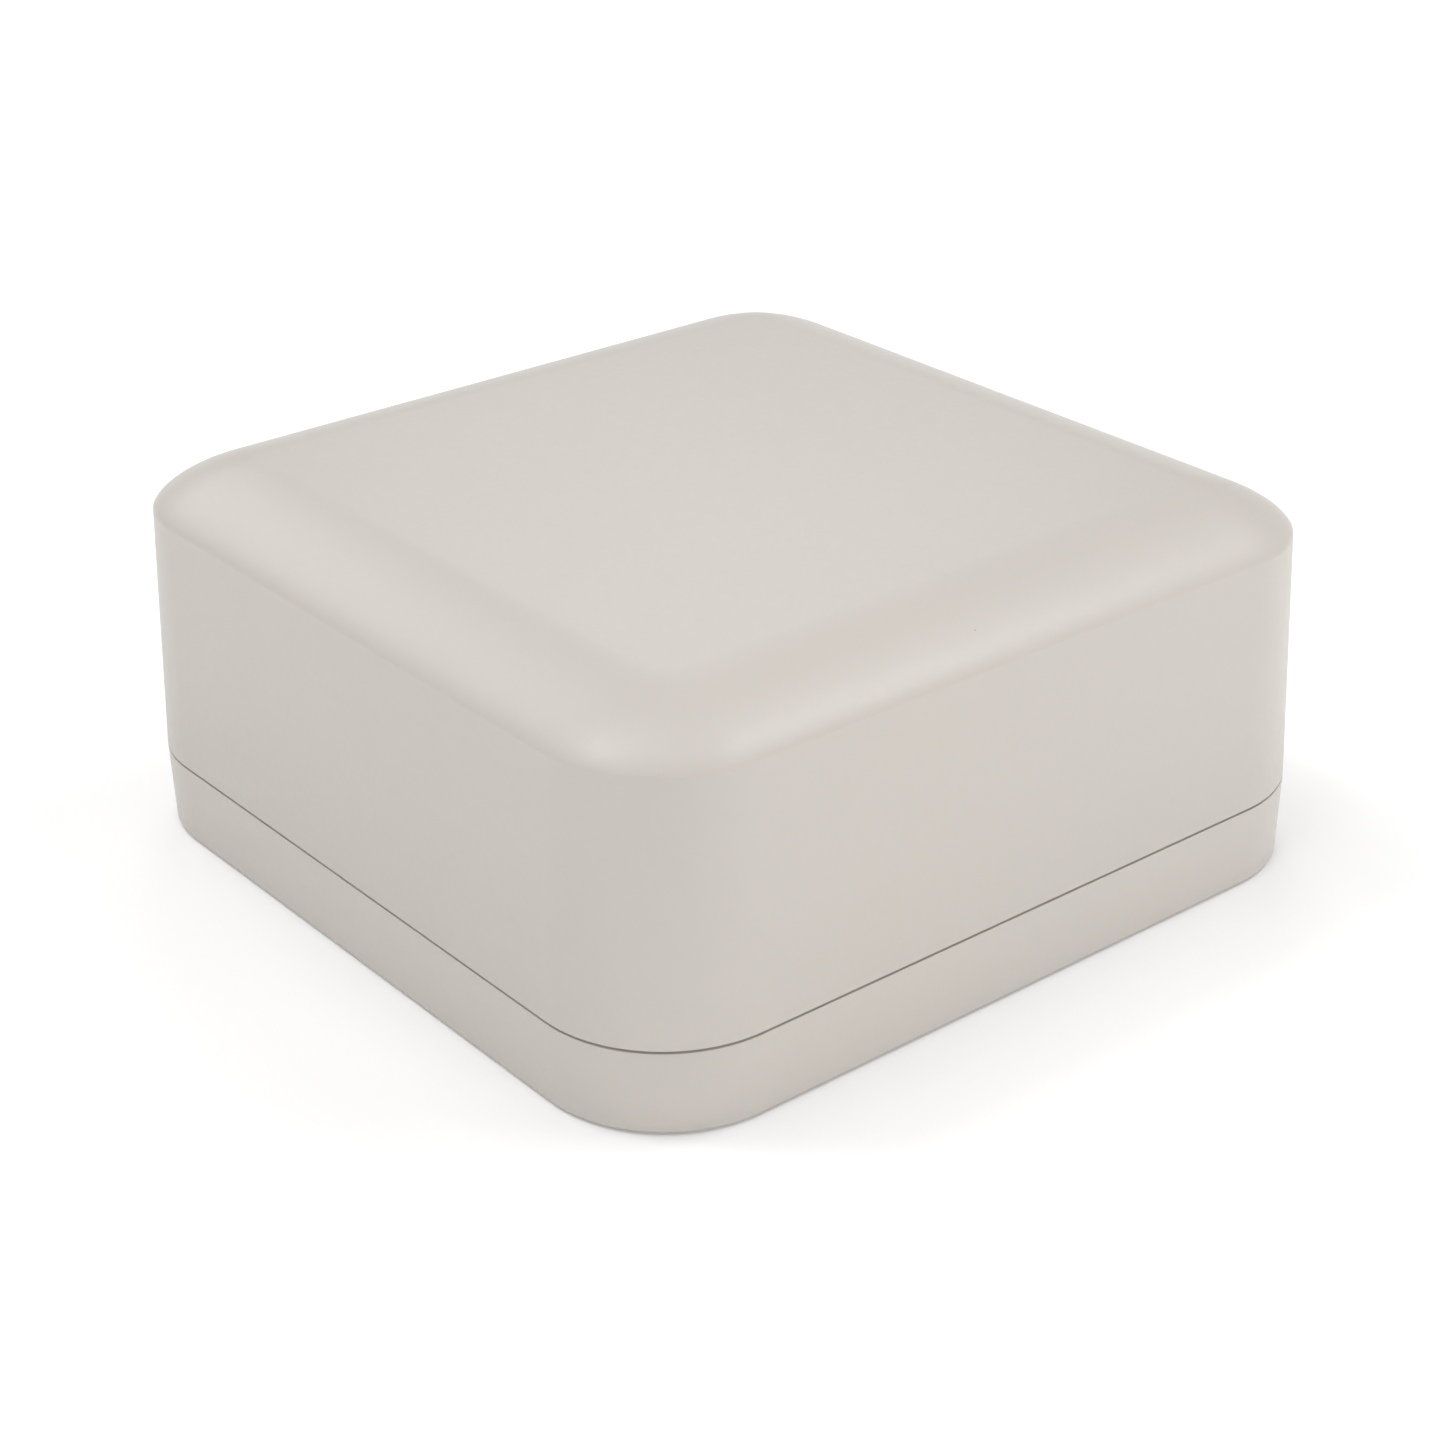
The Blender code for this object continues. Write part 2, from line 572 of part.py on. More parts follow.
def make_cover_screws(finish, parent):
    """Four screws, up through the base into the cover."""
    sizes = (COVER_SCREW_RADIUS, COVER_SCREW_LENGTH, COVER_SCREW_HEAD_RADIUS, COVER_SCREW_HEAD_HEIGHT)
    under_head = CEILING_GAP + COVER_SCREW_SEAT - FIT
    for number, (sx, sy) in enumerate(CORNERS, 1):
        place = (sx * BOSS_XY, sy * BOSS_XY)
        make_screw(f"cover_screw_{number}", place, under_head, 1, sizes, finish, parent)


# ---------------------------------------------------------------- bracket

def make_bracket(finish):
    """The pressed steel disc that is screwed to the ceiling, with its bayonet hooks."""
    bm = bmesh.new()
    add_turned(bm, ((BRACKET_HOLE_RADIUS, 0), (BRACKET_RADIUS, 0), (BRACKET_RADIUS, BRACKET_THICKNESS),
                    (BRACKET_HOLE_RADIUS, BRACKET_THICKNESS)), steps=DISC_STEPS, closed=True)
    bracket = add_object("mounting_bracket", bm, finish)

    bm = bmesh.new()
    inner = HOOK_RADIUS - HOOK_THICKNESS / 2
    outer = HOOK_RADIUS + HOOK_THICKNESS / 2
    half_hook = HOOK_WIDTH / 2 / HOOK_RADIUS
    arm = HOOK_REACH / HOOK_RADIUS
    arm_low = PLATE_TOP_Z + FIT
    arm_high = arm_low + HOOK_THICKNESS
    for index in range(HOOK_COUNT):
        middle = 2 * math.pi * index / HOOK_COUNT
        add_hook(bm, inner, outer, (middle - half_hook, middle + half_hook, middle + half_hook + arm),
                 (BRACKET_THICKNESS / 2, arm_low, arm_high))
    combine(bracket, "hooks", bm, "UNION")

    bm = bmesh.new()
    for index in range(CEILING_SCREW_COUNT):
        angle = 2 * math.pi * (index + 0.5) / CEILING_SCREW_COUNT
        centre = (CEILING_SCREW_CIRCLE * math.cos(angle), CEILING_SCREW_CIRCLE * math.sin(angle))
        add_cylinder(bm, CEILING_SCREW_RADIUS, -BRACKET_THICKNESS, 2 * BRACKET_THICKNESS, centre)
    combine(bracket, "holes", bm, "DIFFERENCE")


def add_hook(bm, inner, outer, angles, levels):
    """An L-shaped hook bent along the circle: a riser, and an arm at its top."""
    start, corner, tip = angles
    foot, arm_low, arm_high = levels
    outline = ((start, foot), (corner, foot), (corner, arm_low), (tip, arm_low), (tip, arm_high),
               (corner, arm_high), (start, arm_high))
    rings = []
    for radius in (inner, outer):
        rings.append([(radius * math.cos(a), radius * math.sin(a), z) for a, z in outline])
    add_rings(bm, rings)


# ---------------------------------------------------------------- board and what it carries

def make_board(finish, parent):
    """The main board, with its corners cut clear of the cover's bosses."""
    corner_sum = 2 * BOSS_XY - (COVER_BOSS_RADIUS + BOSS_CLEARANCE) * math.sqrt(2)
    short = corner_sum - BOARD_HALF
    outline = []
    for sx, sy in CORNERS:
        pair = [(sx * BOARD_HALF, sy * short), (sx * short, sy * BOARD_HALF)]
        outline += pair if sx == sy else pair[::-1]
    bm = bmesh.new()
    add_prism(bm, outline, BOARD_Z, BOARD_TOP_Z)
    board = add_object("main_board", bm, finish, parent, (0, 0, BOARD_Z))

    bm = bmesh.new()
    low = BOARD_Z - BOARD_THICKNESS
    high = BOARD_TOP_Z + BOARD_THICKNESS
    for sx, sy in CORNERS:
        centre = (sx * POST_XY[0], sy * POST_XY[1])
        add_cylinder(bm, BOARD_SCREW_RADIUS + SCREW_CLEARANCE, low, high, centre)
    for place in PIN_PLACES:
        add_cylinder(bm, PIN_RADIUS + PIN_PLAY, low, high, place)
    combine(board, "holes", bm, "DIFFERENCE")


def make_board_screws(finish, parent):
    """Four screws, down through the board into the base's posts."""
    sizes = (BOARD_SCREW_RADIUS, BOARD_SCREW_LENGTH, BOARD_SCREW_HEAD_RADIUS, BOARD_SCREW_HEAD_HEIGHT)
    for number, (sx, sy) in enumerate(CORNERS, 1):
        make_screw(f"board_screw_{number}", (sx * POST_XY[0], sy * POST_XY[1]), ON_BOARD_Z, -1, sizes,
                   finish, parent)


def make_chips(finish, parent):
    """The flat packages on the board: name, size across, size along, and place."""
    front = MEMORY_INSET - BOARD_HALF
    left, back = POE_CHIP_INSET
    side = BOARD_HALF - SHIELD_INSET - SHIELD_WIDTH / 2
    chips = (
        ("processor_chip", PROCESSOR_SIZE, PROCESSOR_SIZE, (0, SINK_MIDDLE)),
        ("memory_chip_1", *MEMORY_SIZE, (-MEMORY_X, front)),
        ("memory_chip_2", *MEMORY_SIZE, (MEMORY_X, front)),
        ("flash_chip", *FLASH_SIZE, (FLASH_X, front)),
        ("poe_controller", POE_CHIP_SIZE, POE_CHIP_SIZE, (left - BOARD_HALF, BOARD_HALF - back)),
        ("radio_chip_1", RADIO_CHIP_SIZE, RADIO_CHIP_SIZE, (-side, 0)),
        ("radio_chip_2", RADIO_CHIP_SIZE, RADIO_CHIP_SIZE, (side, 0)),
    )
    for name, across, along, place in chips:
        add_block(name, (across, along, CHIP_HEIGHT), place, ON_BOARD_Z, finish, parent)


def make_shields(finish, parent):
    """A tinned can, open below, over each radio chip."""
    for number, side in enumerate((-1, 1), 1):
        middle = side * (BOARD_HALF - SHIELD_INSET - SHIELD_WIDTH / 2)
        size = (SHIELD_WIDTH, SHIELD_LENGTH, SHIELD_HEIGHT)
        can = add_block(f"radio_shield_{number}", size, (middle, 0), ON_BOARD_Z, finish, parent)
        across = SHIELD_WIDTH / 2 - SHIELD_SHEET
        along = SHIELD_LENGTH / 2 - SHIELD_SHEET
        bm = bmesh.new()
        add_box(bm, (middle - across, -along, BOARD_Z),
                (middle + across, along, ON_BOARD_Z + SHIELD_HEIGHT - SHIELD_SHEET))
        combine(can, "hollow", bm, "DIFFERENCE")


def make_heat_sink(finish, pad_finish, parent):
    """The finned aluminium sink on the processor, and the soft pad between them."""
    add_block("thermal_pad", (PROCESSOR_SIZE, PROCESSOR_SIZE, PAD_THICKNESS), (0, SINK_MIDDLE),
              ON_BOARD_Z + CHIP_HEIGHT + FIT, pad_finish, parent, bevel=0)
    plate_top = SINK_Z + SINK_PLATE
    fin_top = SINK_Z + SINK_HEIGHT
    fin_span = 2 * (SINK_HALF - SINK_SHOULDER) - SINK_FIN_THICKNESS
    outline = [(-SINK_HALF, SINK_Z), (SINK_HALF, SINK_Z), (SINK_HALF, plate_top)]
    for index in reversed(range(SINK_FINS)):
        left = SINK_SHOULDER - SINK_HALF + fin_span * index / (SINK_FINS - 1)
        right = left + SINK_FIN_THICKNESS
        outline += [(right, plate_top), (right, fin_top), (left, fin_top), (left, plate_top)]
    outline.append((-SINK_HALF, plate_top))
    bm = bmesh.new()
    add_rings(bm, [[(x, y, z) for x, z in outline] for y in (SINK_FRONT, SINK_BACK)])
    sink = add_object("heat_sink", bm, finish, parent, (0, SINK_MIDDLE, SINK_Z))
    bm = bmesh.new()
    for place in PIN_PLACES:
        add_cylinder(bm, PIN_RADIUS + PIN_PLAY, SINK_Z - SINK_PLATE, plate_top + SINK_PLATE, place)
    combine(sink, "holes", bm, "DIFFERENCE")


def make_push_pins(finish, spring_finish, parent):
    """Two push pins with springs, which hold the heat sink down."""
    spring_low = SINK_Z + SINK_PLATE + FIT
    head_z = spring_low + SPRING_HEIGHT + FIT
    low = BOARD_Z - PIN_BELOW
    profile = ((0, low), (PIN_RADIUS * 0.6, low), (PIN_RADIUS, low + PIN_RADIUS), (PIN_RADIUS, head_z),
               (PIN_HEAD_RADIUS, head_z), (PIN_HEAD_RADIUS, head_z + PIN_HEAD_HEIGHT),
               (0, head_z + PIN_HEAD_HEIGHT))
    coil_low = spring_low + SPRING_WIRE / 2
    rise = SPRING_HEIGHT - SPRING_WIRE
    count = COIL_STEPS * SPRING_TURNS
    for number, place in enumerate(PIN_PLACES, 1):
        bm = bmesh.new()
        add_turned(bm, profile, (*place, 0), steps=SMALL_STEPS)
        add_object(f"heat_sink_pin_{number}", bm, finish, parent, (*place, head_z))
        coil = []
        for i in range(count + 1):
            angle = 2 * math.pi * SPRING_TURNS * i / count
            x = place[0] + SPRING_RADIUS * math.cos(angle)
            y = place[1] + SPRING_RADIUS * math.sin(angle)
            coil.append((x, y, coil_low + rise * i / count))
        add_wire(f"heat_sink_spring_{number}", coil, SPRING_WIRE / 2, spring_finish, parent)


def make_power_parts(finishes, parent):
    """Transformers, inductor and capacitors of the power supply, behind the heat sink."""
    magnetics = (("poe_transformer", POE_TRANSFORMER, finishes["ferrite"]),
                 ("lan_transformer", LAN_TRANSFORMER, finishes["chip"]),
                 ("power_inductor", POWER_INDUCTOR, finishes["ferrite"]))
    for name, (size, x, inset), finish in magnetics:
        place = (x, BOARD_HALF - inset)
        add_block(name, size, place, ON_BOARD_Z, finish, parent, bevel=MAGNETICS_BEVEL)
    for number, (radius, height, x, inset) in enumerate(CAPACITORS, 1):
        place = (x, BOARD_HALF - inset)
        soft = radius / 8
        profile = ((0, 0), (radius, 0), (radius, height - soft), (radius - soft, height), (0, height))
        bm = bmesh.new()
        add_turned(bm, profile, (*place, ON_BOARD_Z))
        add_object(f"capacitor_{number}", bm, finishes["sleeve"], parent, (*place, ON_BOARD_Z))


def make_jacks(finishes, parent):
    """The Ethernet jack and the power jack, under the board, with their mouths in the pocket."""
    bottom = UNDER_BOARD_Z - JACK_HEIGHT
    size = (JACK_WIDTH, JACK_DEPTH, JACK_HEIGHT)
    centre = (JACK_X, JACK_Y + JACK_DEPTH / 2)
    jack = add_block("ethernet_jack", size, centre, bottom, finishes["tinned"], parent)
    sill = bottom + SOCKET_SILL
    bm = bmesh.new()
    add_box(bm, (JACK_X - SOCKET_WIDTH / 2, JACK_Y - POCKET_WALL, sill),
            (JACK_X + SOCKET_WIDTH / 2, JACK_Y + SOCKET_DEPTH, sill + SOCKET_HEIGHT))
    combine(jack, "socket", bm, "DIFFERENCE")

    size = (POWER_JACK_WIDTH, POWER_JACK_DEPTH, POWER_JACK_HEIGHT)
    power = add_block("power_jack", size, (POWER_JACK_X, JACK_Y + POWER_JACK_DEPTH / 2),
                      UNDER_BOARD_Z - POWER_JACK_HEIGHT, finishes["black"], parent)
    bm = bmesh.new()
    low = JACK_Y - POCKET_WALL
    high = JACK_Y + POWER_BORE_DEPTH
    ring = ((POWER_PIN_RADIUS, low), (POWER_BORE_RADIUS, low),
            (POWER_BORE_RADIUS, high), (POWER_PIN_RADIUS, high))
    add_turned(bm, ring, (POWER_JACK_X, 0, UNDER_BOARD_Z - POWER_JACK_HEIGHT / 2), "Y", closed=True)
    combine(power, "bore", bm, "DIFFERENCE")


def make_reset(finishes, parent):
    """The reset button in the wall of the pocket, and the switch behind it."""
    height = BOARD_Z - BUTTON_HANG
    outside = POCKET_BACK + POCKET_WALL + FIT
    tip = POCKET_BACK - BUTTON_PROUD
    flange_end = outside + BUTTON_FLANGE
    pivot = add_pivot("reset_travel", (BUTTON_X, outside, height), parent)
    profile = ((0, tip), (BUTTON_RADIUS, tip), (BUTTON_RADIUS, outside), (BUTTON_FLANGE_RADIUS, outside),
               (BUTTON_FLANGE_RADIUS, flange_end), (0, flange_end))
    bm = bmesh.new()
    add_turned(bm, [(r, y - outside) for r, y in profile], (0, 0, 0), "Y")
    add_object("reset_button", bm, finishes["white"], pivot)

    stub = flange_end + BUTTON_TRAVEL + FIT
    face = stub + SWITCH_STUB_LENGTH
    switch = add_block("reset_switch", SWITCH_SIZE, (BUTTON_X, face + SWITCH_SIZE[1] / 2),
                       UNDER_BOARD_Z - SWITCH_SIZE[2], finishes["black"], parent)
    bm = bmesh.new()
    add_turned(bm, ((0, stub), (SWITCH_STUB_RADIUS, stub), (SWITCH_STUB_RADIUS, face + SWITCH_SIZE[1] / 2),
                    (0, face + SWITCH_SIZE[1] / 2)), (BUTTON_X, 0, height), "Y", steps=SMALL_STEPS)
    combine(switch, "stub", bm, "UNION")


def make_status_light(finishes, board_parent, cover_parent):
    """The status light on the board, and the clear pipe that stands in the cover's socket."""
    add_block("status_led", LED_SIZE, (0, LIGHT_Y), ON_BOARD_Z, finishes["white"], board_parent)
    low = ON_BOARD_Z + LED_SIZE[2] + FIT
    high = INNER_TOP_Z - FIT
    bm = bmesh.new()
    add_cylinder(bm, LIGHT_PIPE_RADIUS, low, high, (0, LIGHT_Y))
    add_object("light_pipe", bm, finishes["clear"], cover_parent, (0, LIGHT_Y, low))


def make_antennas(finishes, parent):
    """Four upright antennas, one at each edge, each with its plug and coaxial cable."""
    height = INNER_TOP_Z - ANTENNA_HEADROOM - ON_BOARD_Z
    half = ANTENNA_WIDTH / 2
    slot = ANTENNA_SLOT / 2
    deep = height * ANTENNA_SLOT_FOOT
    outline = [(-half, 0), (half, 0), (half, height), (half / 2 + slot, height), (half / 2 + slot, deep),
               (half / 2 - slot, deep), (half / 2 - slot, height), (slot - half / 2, height),
               (slot - half / 2, deep), (-slot - half / 2, deep), (-slot - half / 2, height),
               (-half, height)]
    edge = ANTENNA_INSET - BOARD_HALF
    face = edge + ANTENNA_THICKNESS / 2 + FIT + COAX_RADIUS
    plug = PLUG_INSET - BOARD_HALF
    level = ON_BOARD_Z + PLUG_HEIGHT / 2 + COAX_RADIUS / 2
    away = (PLUG_RADIUS + FIT) / math.sqrt(2)
    route = ((plug + away, plug - away, level),
             (plug + 0.006, plug - 0.006, level),
             (-ANTENNA_FEED - 0.009, face + 0.0022, level),
             (-ANTENNA_FEED - 0.003, face - 0.0002, level + 0.0002),
             (-ANTENNA_FEED, face, level + 0.003),
             (-ANTENNA_FEED, face, level + COAX_RISE))
    for number in range(1, 5):
        turn = Matrix.Rotation((number - 1) * math.pi / 2, 4, "Z")
        bm = bmesh.new()
        rings = []
        for y in (-ANTENNA_THICKNESS / 2, ANTENNA_THICKNESS / 2):
            rings.append([turn @ Vector((x, edge + y, ON_BOARD_Z + z)) for x, z in outline])
        add_rings(bm, rings)
        foot = turn @ Vector((0, edge, ON_BOARD_Z))
        add_object(f"antenna_{number}", bm, finishes["antenna"], parent, foot)
        place = turn @ Vector((plug, plug, ON_BOARD_Z))
        bm = bmesh.new()
        outer = ((0, 0), (PLUG_RADIUS, 0), (PLUG_RADIUS, PLUG_HEIGHT), (0, PLUG_HEIGHT))
        add_turned(bm, outer, place, steps=SMALL_STEPS)
        add_object(f"antenna_plug_{number}", bm, finishes["brass"], parent, place)
        points = smooth_route([turn @ Vector(p) for p in route], 3 * COAX_RADIUS)
        add_wire(f"antenna_cable_{number}", points, COAX_RADIUS, finishes["coax"], parent)


def main():
    """Build the whole part."""
    for obj in list(bpy.data.objects):
        bpy.data.objects.remove(obj, do_unlink=True)
    finishes = make_finishes()
    housing = add_pivot("twist_lock", (0, 0, 0))
    lid = add_pivot("cover_lift", (0, 0, 0), housing)

    make_bracket(finishes["zinc"])
    make_base(finishes["shell"], housing)
    make_cover(finishes["shell"], lid)
    make_gasket(finishes["rubber"], housing)
    make_cover_screws(finishes["screw"], housing)
    make_board(finishes["board"], housing)
    make_board_screws(finishes["screw"], housing)
    make_chips(finishes["chip"], housing)
    make_shields(finishes["tinned"], housing)
    make_heat_sink(finishes["aluminium"], finishes["pad"], housing)
    make_push_pins(finishes["white"], finishes["screw"], housing)
    make_power_parts(finishes, housing)
    make_jacks(finishes, housing)
    make_reset(finishes, housing)
    make_status_light(finishes, housing, lid)
    make_antennas(finishes, housing)


main()
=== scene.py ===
"""Looks of the ceiling access point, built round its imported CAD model.

Every piece is made in metres in the frame of the CAD. Sizes come from the boxes of the CAD nodes
and from the named values below, and every finish is made of shader nodes.
"""

import math

import bmesh
import bpy
from mathutils import Matrix, Vector


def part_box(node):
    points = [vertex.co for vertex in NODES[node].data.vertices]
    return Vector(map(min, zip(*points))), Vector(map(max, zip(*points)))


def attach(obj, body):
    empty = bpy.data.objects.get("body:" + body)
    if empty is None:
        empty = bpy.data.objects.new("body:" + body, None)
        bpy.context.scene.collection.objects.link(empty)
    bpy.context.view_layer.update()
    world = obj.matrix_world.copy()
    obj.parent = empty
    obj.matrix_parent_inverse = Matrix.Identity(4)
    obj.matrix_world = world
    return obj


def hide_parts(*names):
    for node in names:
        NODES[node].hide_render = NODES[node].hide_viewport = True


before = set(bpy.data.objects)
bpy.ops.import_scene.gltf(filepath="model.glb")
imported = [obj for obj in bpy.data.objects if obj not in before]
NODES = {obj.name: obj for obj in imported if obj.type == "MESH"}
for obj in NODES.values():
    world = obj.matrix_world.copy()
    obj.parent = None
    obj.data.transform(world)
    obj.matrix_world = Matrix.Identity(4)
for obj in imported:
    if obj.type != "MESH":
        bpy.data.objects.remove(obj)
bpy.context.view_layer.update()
MM = 0.001

# Places of the CAD pieces that the fine pieces follow
COVER_LOW, COVER_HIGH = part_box("cover")
BASE_LOW, BASE_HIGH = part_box("base")
BRACKET_LOW, BRACKET_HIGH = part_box("mounting_bracket")
BOARD_LOW, BOARD_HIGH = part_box("main_board")
JACK_LOW, JACK_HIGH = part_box("ethernet_jack")
POWER_LOW, POWER_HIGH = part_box("power_jack")
BUTTON_LOW, BUTTON_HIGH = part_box("reset_button")
SCREW_LOW, SCREW_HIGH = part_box("cover_screw_1")
BOARD_SCREW_LOW, BOARD_SCREW_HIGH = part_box("board_screw_1")
PIPE_LOW, PIPE_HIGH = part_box("light_pipe")

# Outer form, as in the CAD
WIDTH = COVER_HIGH.x - COVER_LOW.x
RIM_Z = BASE_LOW.z
TOP_Z = COVER_HIGH.z
SEAM_GAP = 0.3 * MM
COVER_BOTTOM_Z = COVER_LOW.z
BASE_TOP_Z = COVER_BOTTOM_Z - SEAM_GAP
CORNER_RADIUS = 18.1 * MM
COVER_DRAFT = 0.0333
BASE_DRAFT = 0.032
EDGE_INSET = 14.5 * MM
EDGE_DROP = 6.4 * MM
EDGE_POWER = 1.36
WALL = 2.4 * MM
LIP = 1.0 * MM
LIP_HEIGHT = 1.8 * MM
FIT = 0.3 * MM
EDGE_BREAK = 0.12 * MM      # small radius on the edges at the seam and round the rim

# Inside the shells
CEILING_Z = TOP_Z - WALL
FLOOR_Z = RIM_Z + WALL
PLATE_Z = 1.5 * MM
PLATE_TOP_Z = PLATE_Z + WALL
RECESS_RADIUS = 42.0 * MM
BOSS_XY = (SCREW_LOW.x + SCREW_HIGH.x) / 2
BASE_BOSS_RADIUS = 4.2 * MM
COVER_BOSS_RADIUS = 3.6 * MM
SCREW_HOLE = 1.7 * MM
SCREW_SEAT_Z = RIM_Z + 4.6 * MM
SCREW_BORE = 3.1 * MM
COVER_HOLE_TOP = SCREW_HIGH.z + 0.9 * MM
POST_X = (BOARD_SCREW_LOW.x + BOARD_SCREW_HIGH.x) / 2
POST_Y = (BOARD_SCREW_LOW.y + BOARD_SCREW_HIGH.y) / 2
POST_RADIUS = 3.0 * MM
POST_HOLE = 1.5 * MM
POST_HOLE_DEPTH = 6.6 * MM
POCKET_HALF = 20.0 * MM
POCKET_FRONT = -22.0 * MM
POCKET_BACK = 18.0 * MM
POCKET_WALL = 1.6 * MM
POCKET_CEILING_Z = BOARD_LOW.z - 3.3 * MM
POCKET_TOP_Z = BOARD_LOW.z - 1.7 * MM
HOOK_RADIUS = 36.0 * MM
HOOK_THICKNESS = 1.2 * MM
HOOK_WIDTH = 4.1 * MM
HOOK_REACH = 6.0 * MM
HOOK_SLACK = 0.4 * MM
HALF_HOOK = HOOK_WIDTH / 2 / HOOK_RADIUS
HOOK_ANGLES = tuple(2 * math.pi * index / 3 for index in range(3))
TWIST = 0.1889
SOCKET_X = (JACK_LOW.x + JACK_HIGH.x) / 2
SOCKET_HALF = 6.0 * MM
SOCKET_LOW_Z = JACK_LOW.z + 0.9 * MM
SOCKET_HIGH_Z = SOCKET_LOW_Z + 9.4 * MM
SOCKET_DEPTH = 14.5 * MM
POWER_X = (POWER_LOW.x + POWER_HIGH.x) / 2
POWER_Z = (POWER_LOW.z + POWER_HIGH.z) / 2
POWER_BORE = 3.2 * MM
POWER_DEPTH = 9.5 * MM
BUTTON_X = (BUTTON_LOW.x + BUTTON_HIGH.x) / 2
BUTTON_Z = (BUTTON_LOW.z + BUTTON_HIGH.z) / 2
BUTTON_RADIUS = 1.3 * MM
LIGHT_Y = (PIPE_LOW.y + PIPE_HIGH.y) / 2
PIPE_RADIUS = (PIPE_HIGH.x - PIPE_LOW.x) / 2
WINDOW_MARGIN = 0.2 * MM
PIN_HOLE = 1.4 * MM          # for a push pin, in the heat sink and the board
ON_BOARD_Z = BOARD_HIGH.z + FIT
PAD_FLOAT = 0.02 * MM       # thin metal that lies on a board stands this much proud of it

# Fineness
CORNER_STEPS = 40
EDGE_STEPS = 28
INNER_EDGE_STEPS = 12
EDGE_CROWDING = 1.35        # gathers the steps near the side, where the curve is tight
ROUND_STEPS = 40
DISC_STEPS = 144
SMOOTH_ANGLE = math.radians(32)

CORNERS = ((1, 1), (-1, 1), (-1, -1), (1, -1))


# ---------------------------------------------------------------- shader helpers

class Shader:
    """A Principled material with short calls for its nodes."""

    def __init__(self, name, colour, roughness, metallic=0.0, **sockets):
        self.material = bpy.data.materials.new(name)
        self.material.use_nodes = True
        self.tree = self.material.node_tree
        self.principled = self.tree.nodes["Principled BSDF"]
        self.set("Base Color", (*colour, 1.0))
        self.set("Roughness", roughness)
        self.set("Metallic", metallic)
        for socket, value in sockets.items():
            self.set(socket.replace("_", " "), value)
        self.place = self.node("ShaderNodeTexCoord").outputs["Object"]

    def set(self, socket, value):
        self.principled.inputs[socket].default_value = value

    def link(self, output, socket):
        self.tree.links.new(output, socket)

    def feed(self, output, socket):
        """Drive a socket of the Principled shader."""
        self.link(output, self.principled.inputs[socket])

    def node(self, kind, vector=None, numbers=(), **settings):
        """Add a node, with its settings, the numbers on its sockets and the vector that it reads."""
        made = self.tree.nodes.new(kind)
        for key, value in settings.items():
            setattr(made, key, value)
        for socket, number in numbers:
            made.inputs[socket].default_value = number
        if vector is not None:
            self.link(vector, made.inputs["Vector"])
        return made

    def noise(self, scale, detail=2.0, roughness=0.5, stretch=None):
        """Noise in object coordinates, optionally stretched."""
        source = self.place
        if stretch:
            source = self.node("ShaderNodeMapping", source, [("Scale", stretch)]).outputs["Vector"]
        numbers = (("Scale", scale), ("Detail", detail), ("Roughness", roughness))
        return self.node("ShaderNodeTexNoise", source, numbers).outputs["Fac"]

    def cells(self, scale, output="Distance"):
        """Cells: the distance from the middle of each, or a random colour for each."""
        return self.node("ShaderNodeTexVoronoi", self.place, [("Scale", scale)]).outputs[output]

    def tracks(self, turn):
        """Straight parallel tracks on the XY plane with short cross links, turned by an angle."""
        turned_place = self.node("ShaderNodeMapping", self.place, [("Rotation", (0.0, 0.0, turn))])
        numbers = (("Scale", 1.0), ("Mortar Size", TRACK_WIDTH), ("Mortar Smooth", 0.0),
                   ("Brick Width", TRACK_RUN), ("Row Height", TRACK_PITCH))
        made = self.node("ShaderNodeTexBrick", turned_place.outputs["Vector"], numbers,
                         offset=0.37, offset_frequency=2, squash=0.6, squash_frequency=3)
        return made.outputs["Fac"]

    def remap(self, value, low, high, to_low=0.0, to_high=1.0):
        numbers = (("From Min", low), ("From Max", high), ("To Min", to_low), ("To Max", to_high))
        made = self.node("ShaderNodeMapRange", numbers=numbers)
        self.link(value, made.inputs["Value"])
        return made.outputs["Result"]

    def sum(self, operation, first, second):
        """One sum on an output and a number, or on two outputs."""
        made = self.node("ShaderNodeMath", operation=operation)
        self.link(first, made.inputs[0])
        if isinstance(second, float):
            made.inputs[1].default_value = second
        else:
            self.link(second, made.inputs[1])
        return made.outputs[0]

    def pick(self, factor, first, second):
        """Mix two numbers by a factor."""
        made = self.node("ShaderNodeMix", data_type="FLOAT")
        for slot, value in ((0, factor), (2, first), (3, second)):
            self.link(value, made.inputs[slot])
        return made.outputs[0]

    def mix(self, factor, first, second):
        """Mix two colours by a factor. A colour is a tuple or an output."""
        made = self.node("ShaderNodeMix", data_type="RGBA")
        self.link(factor, made.inputs["Factor"])
        for slot, colour in ((6, first), (7, second)):
            if isinstance(colour, tuple):
                made.inputs[slot].default_value = (*colour, 1.0)
            else:
                self.link(colour, made.inputs[slot])
        return made.outputs[2]

    def bump(self, height, depth):
        made = self.node("ShaderNodeBump", numbers=(("Distance", depth), ("Strength", 1.0)))
        self.link(height, made.inputs["Height"])
        self.feed(made.outputs["Normal"], "Normal")


# ---------------------------------------------------------------- finishes

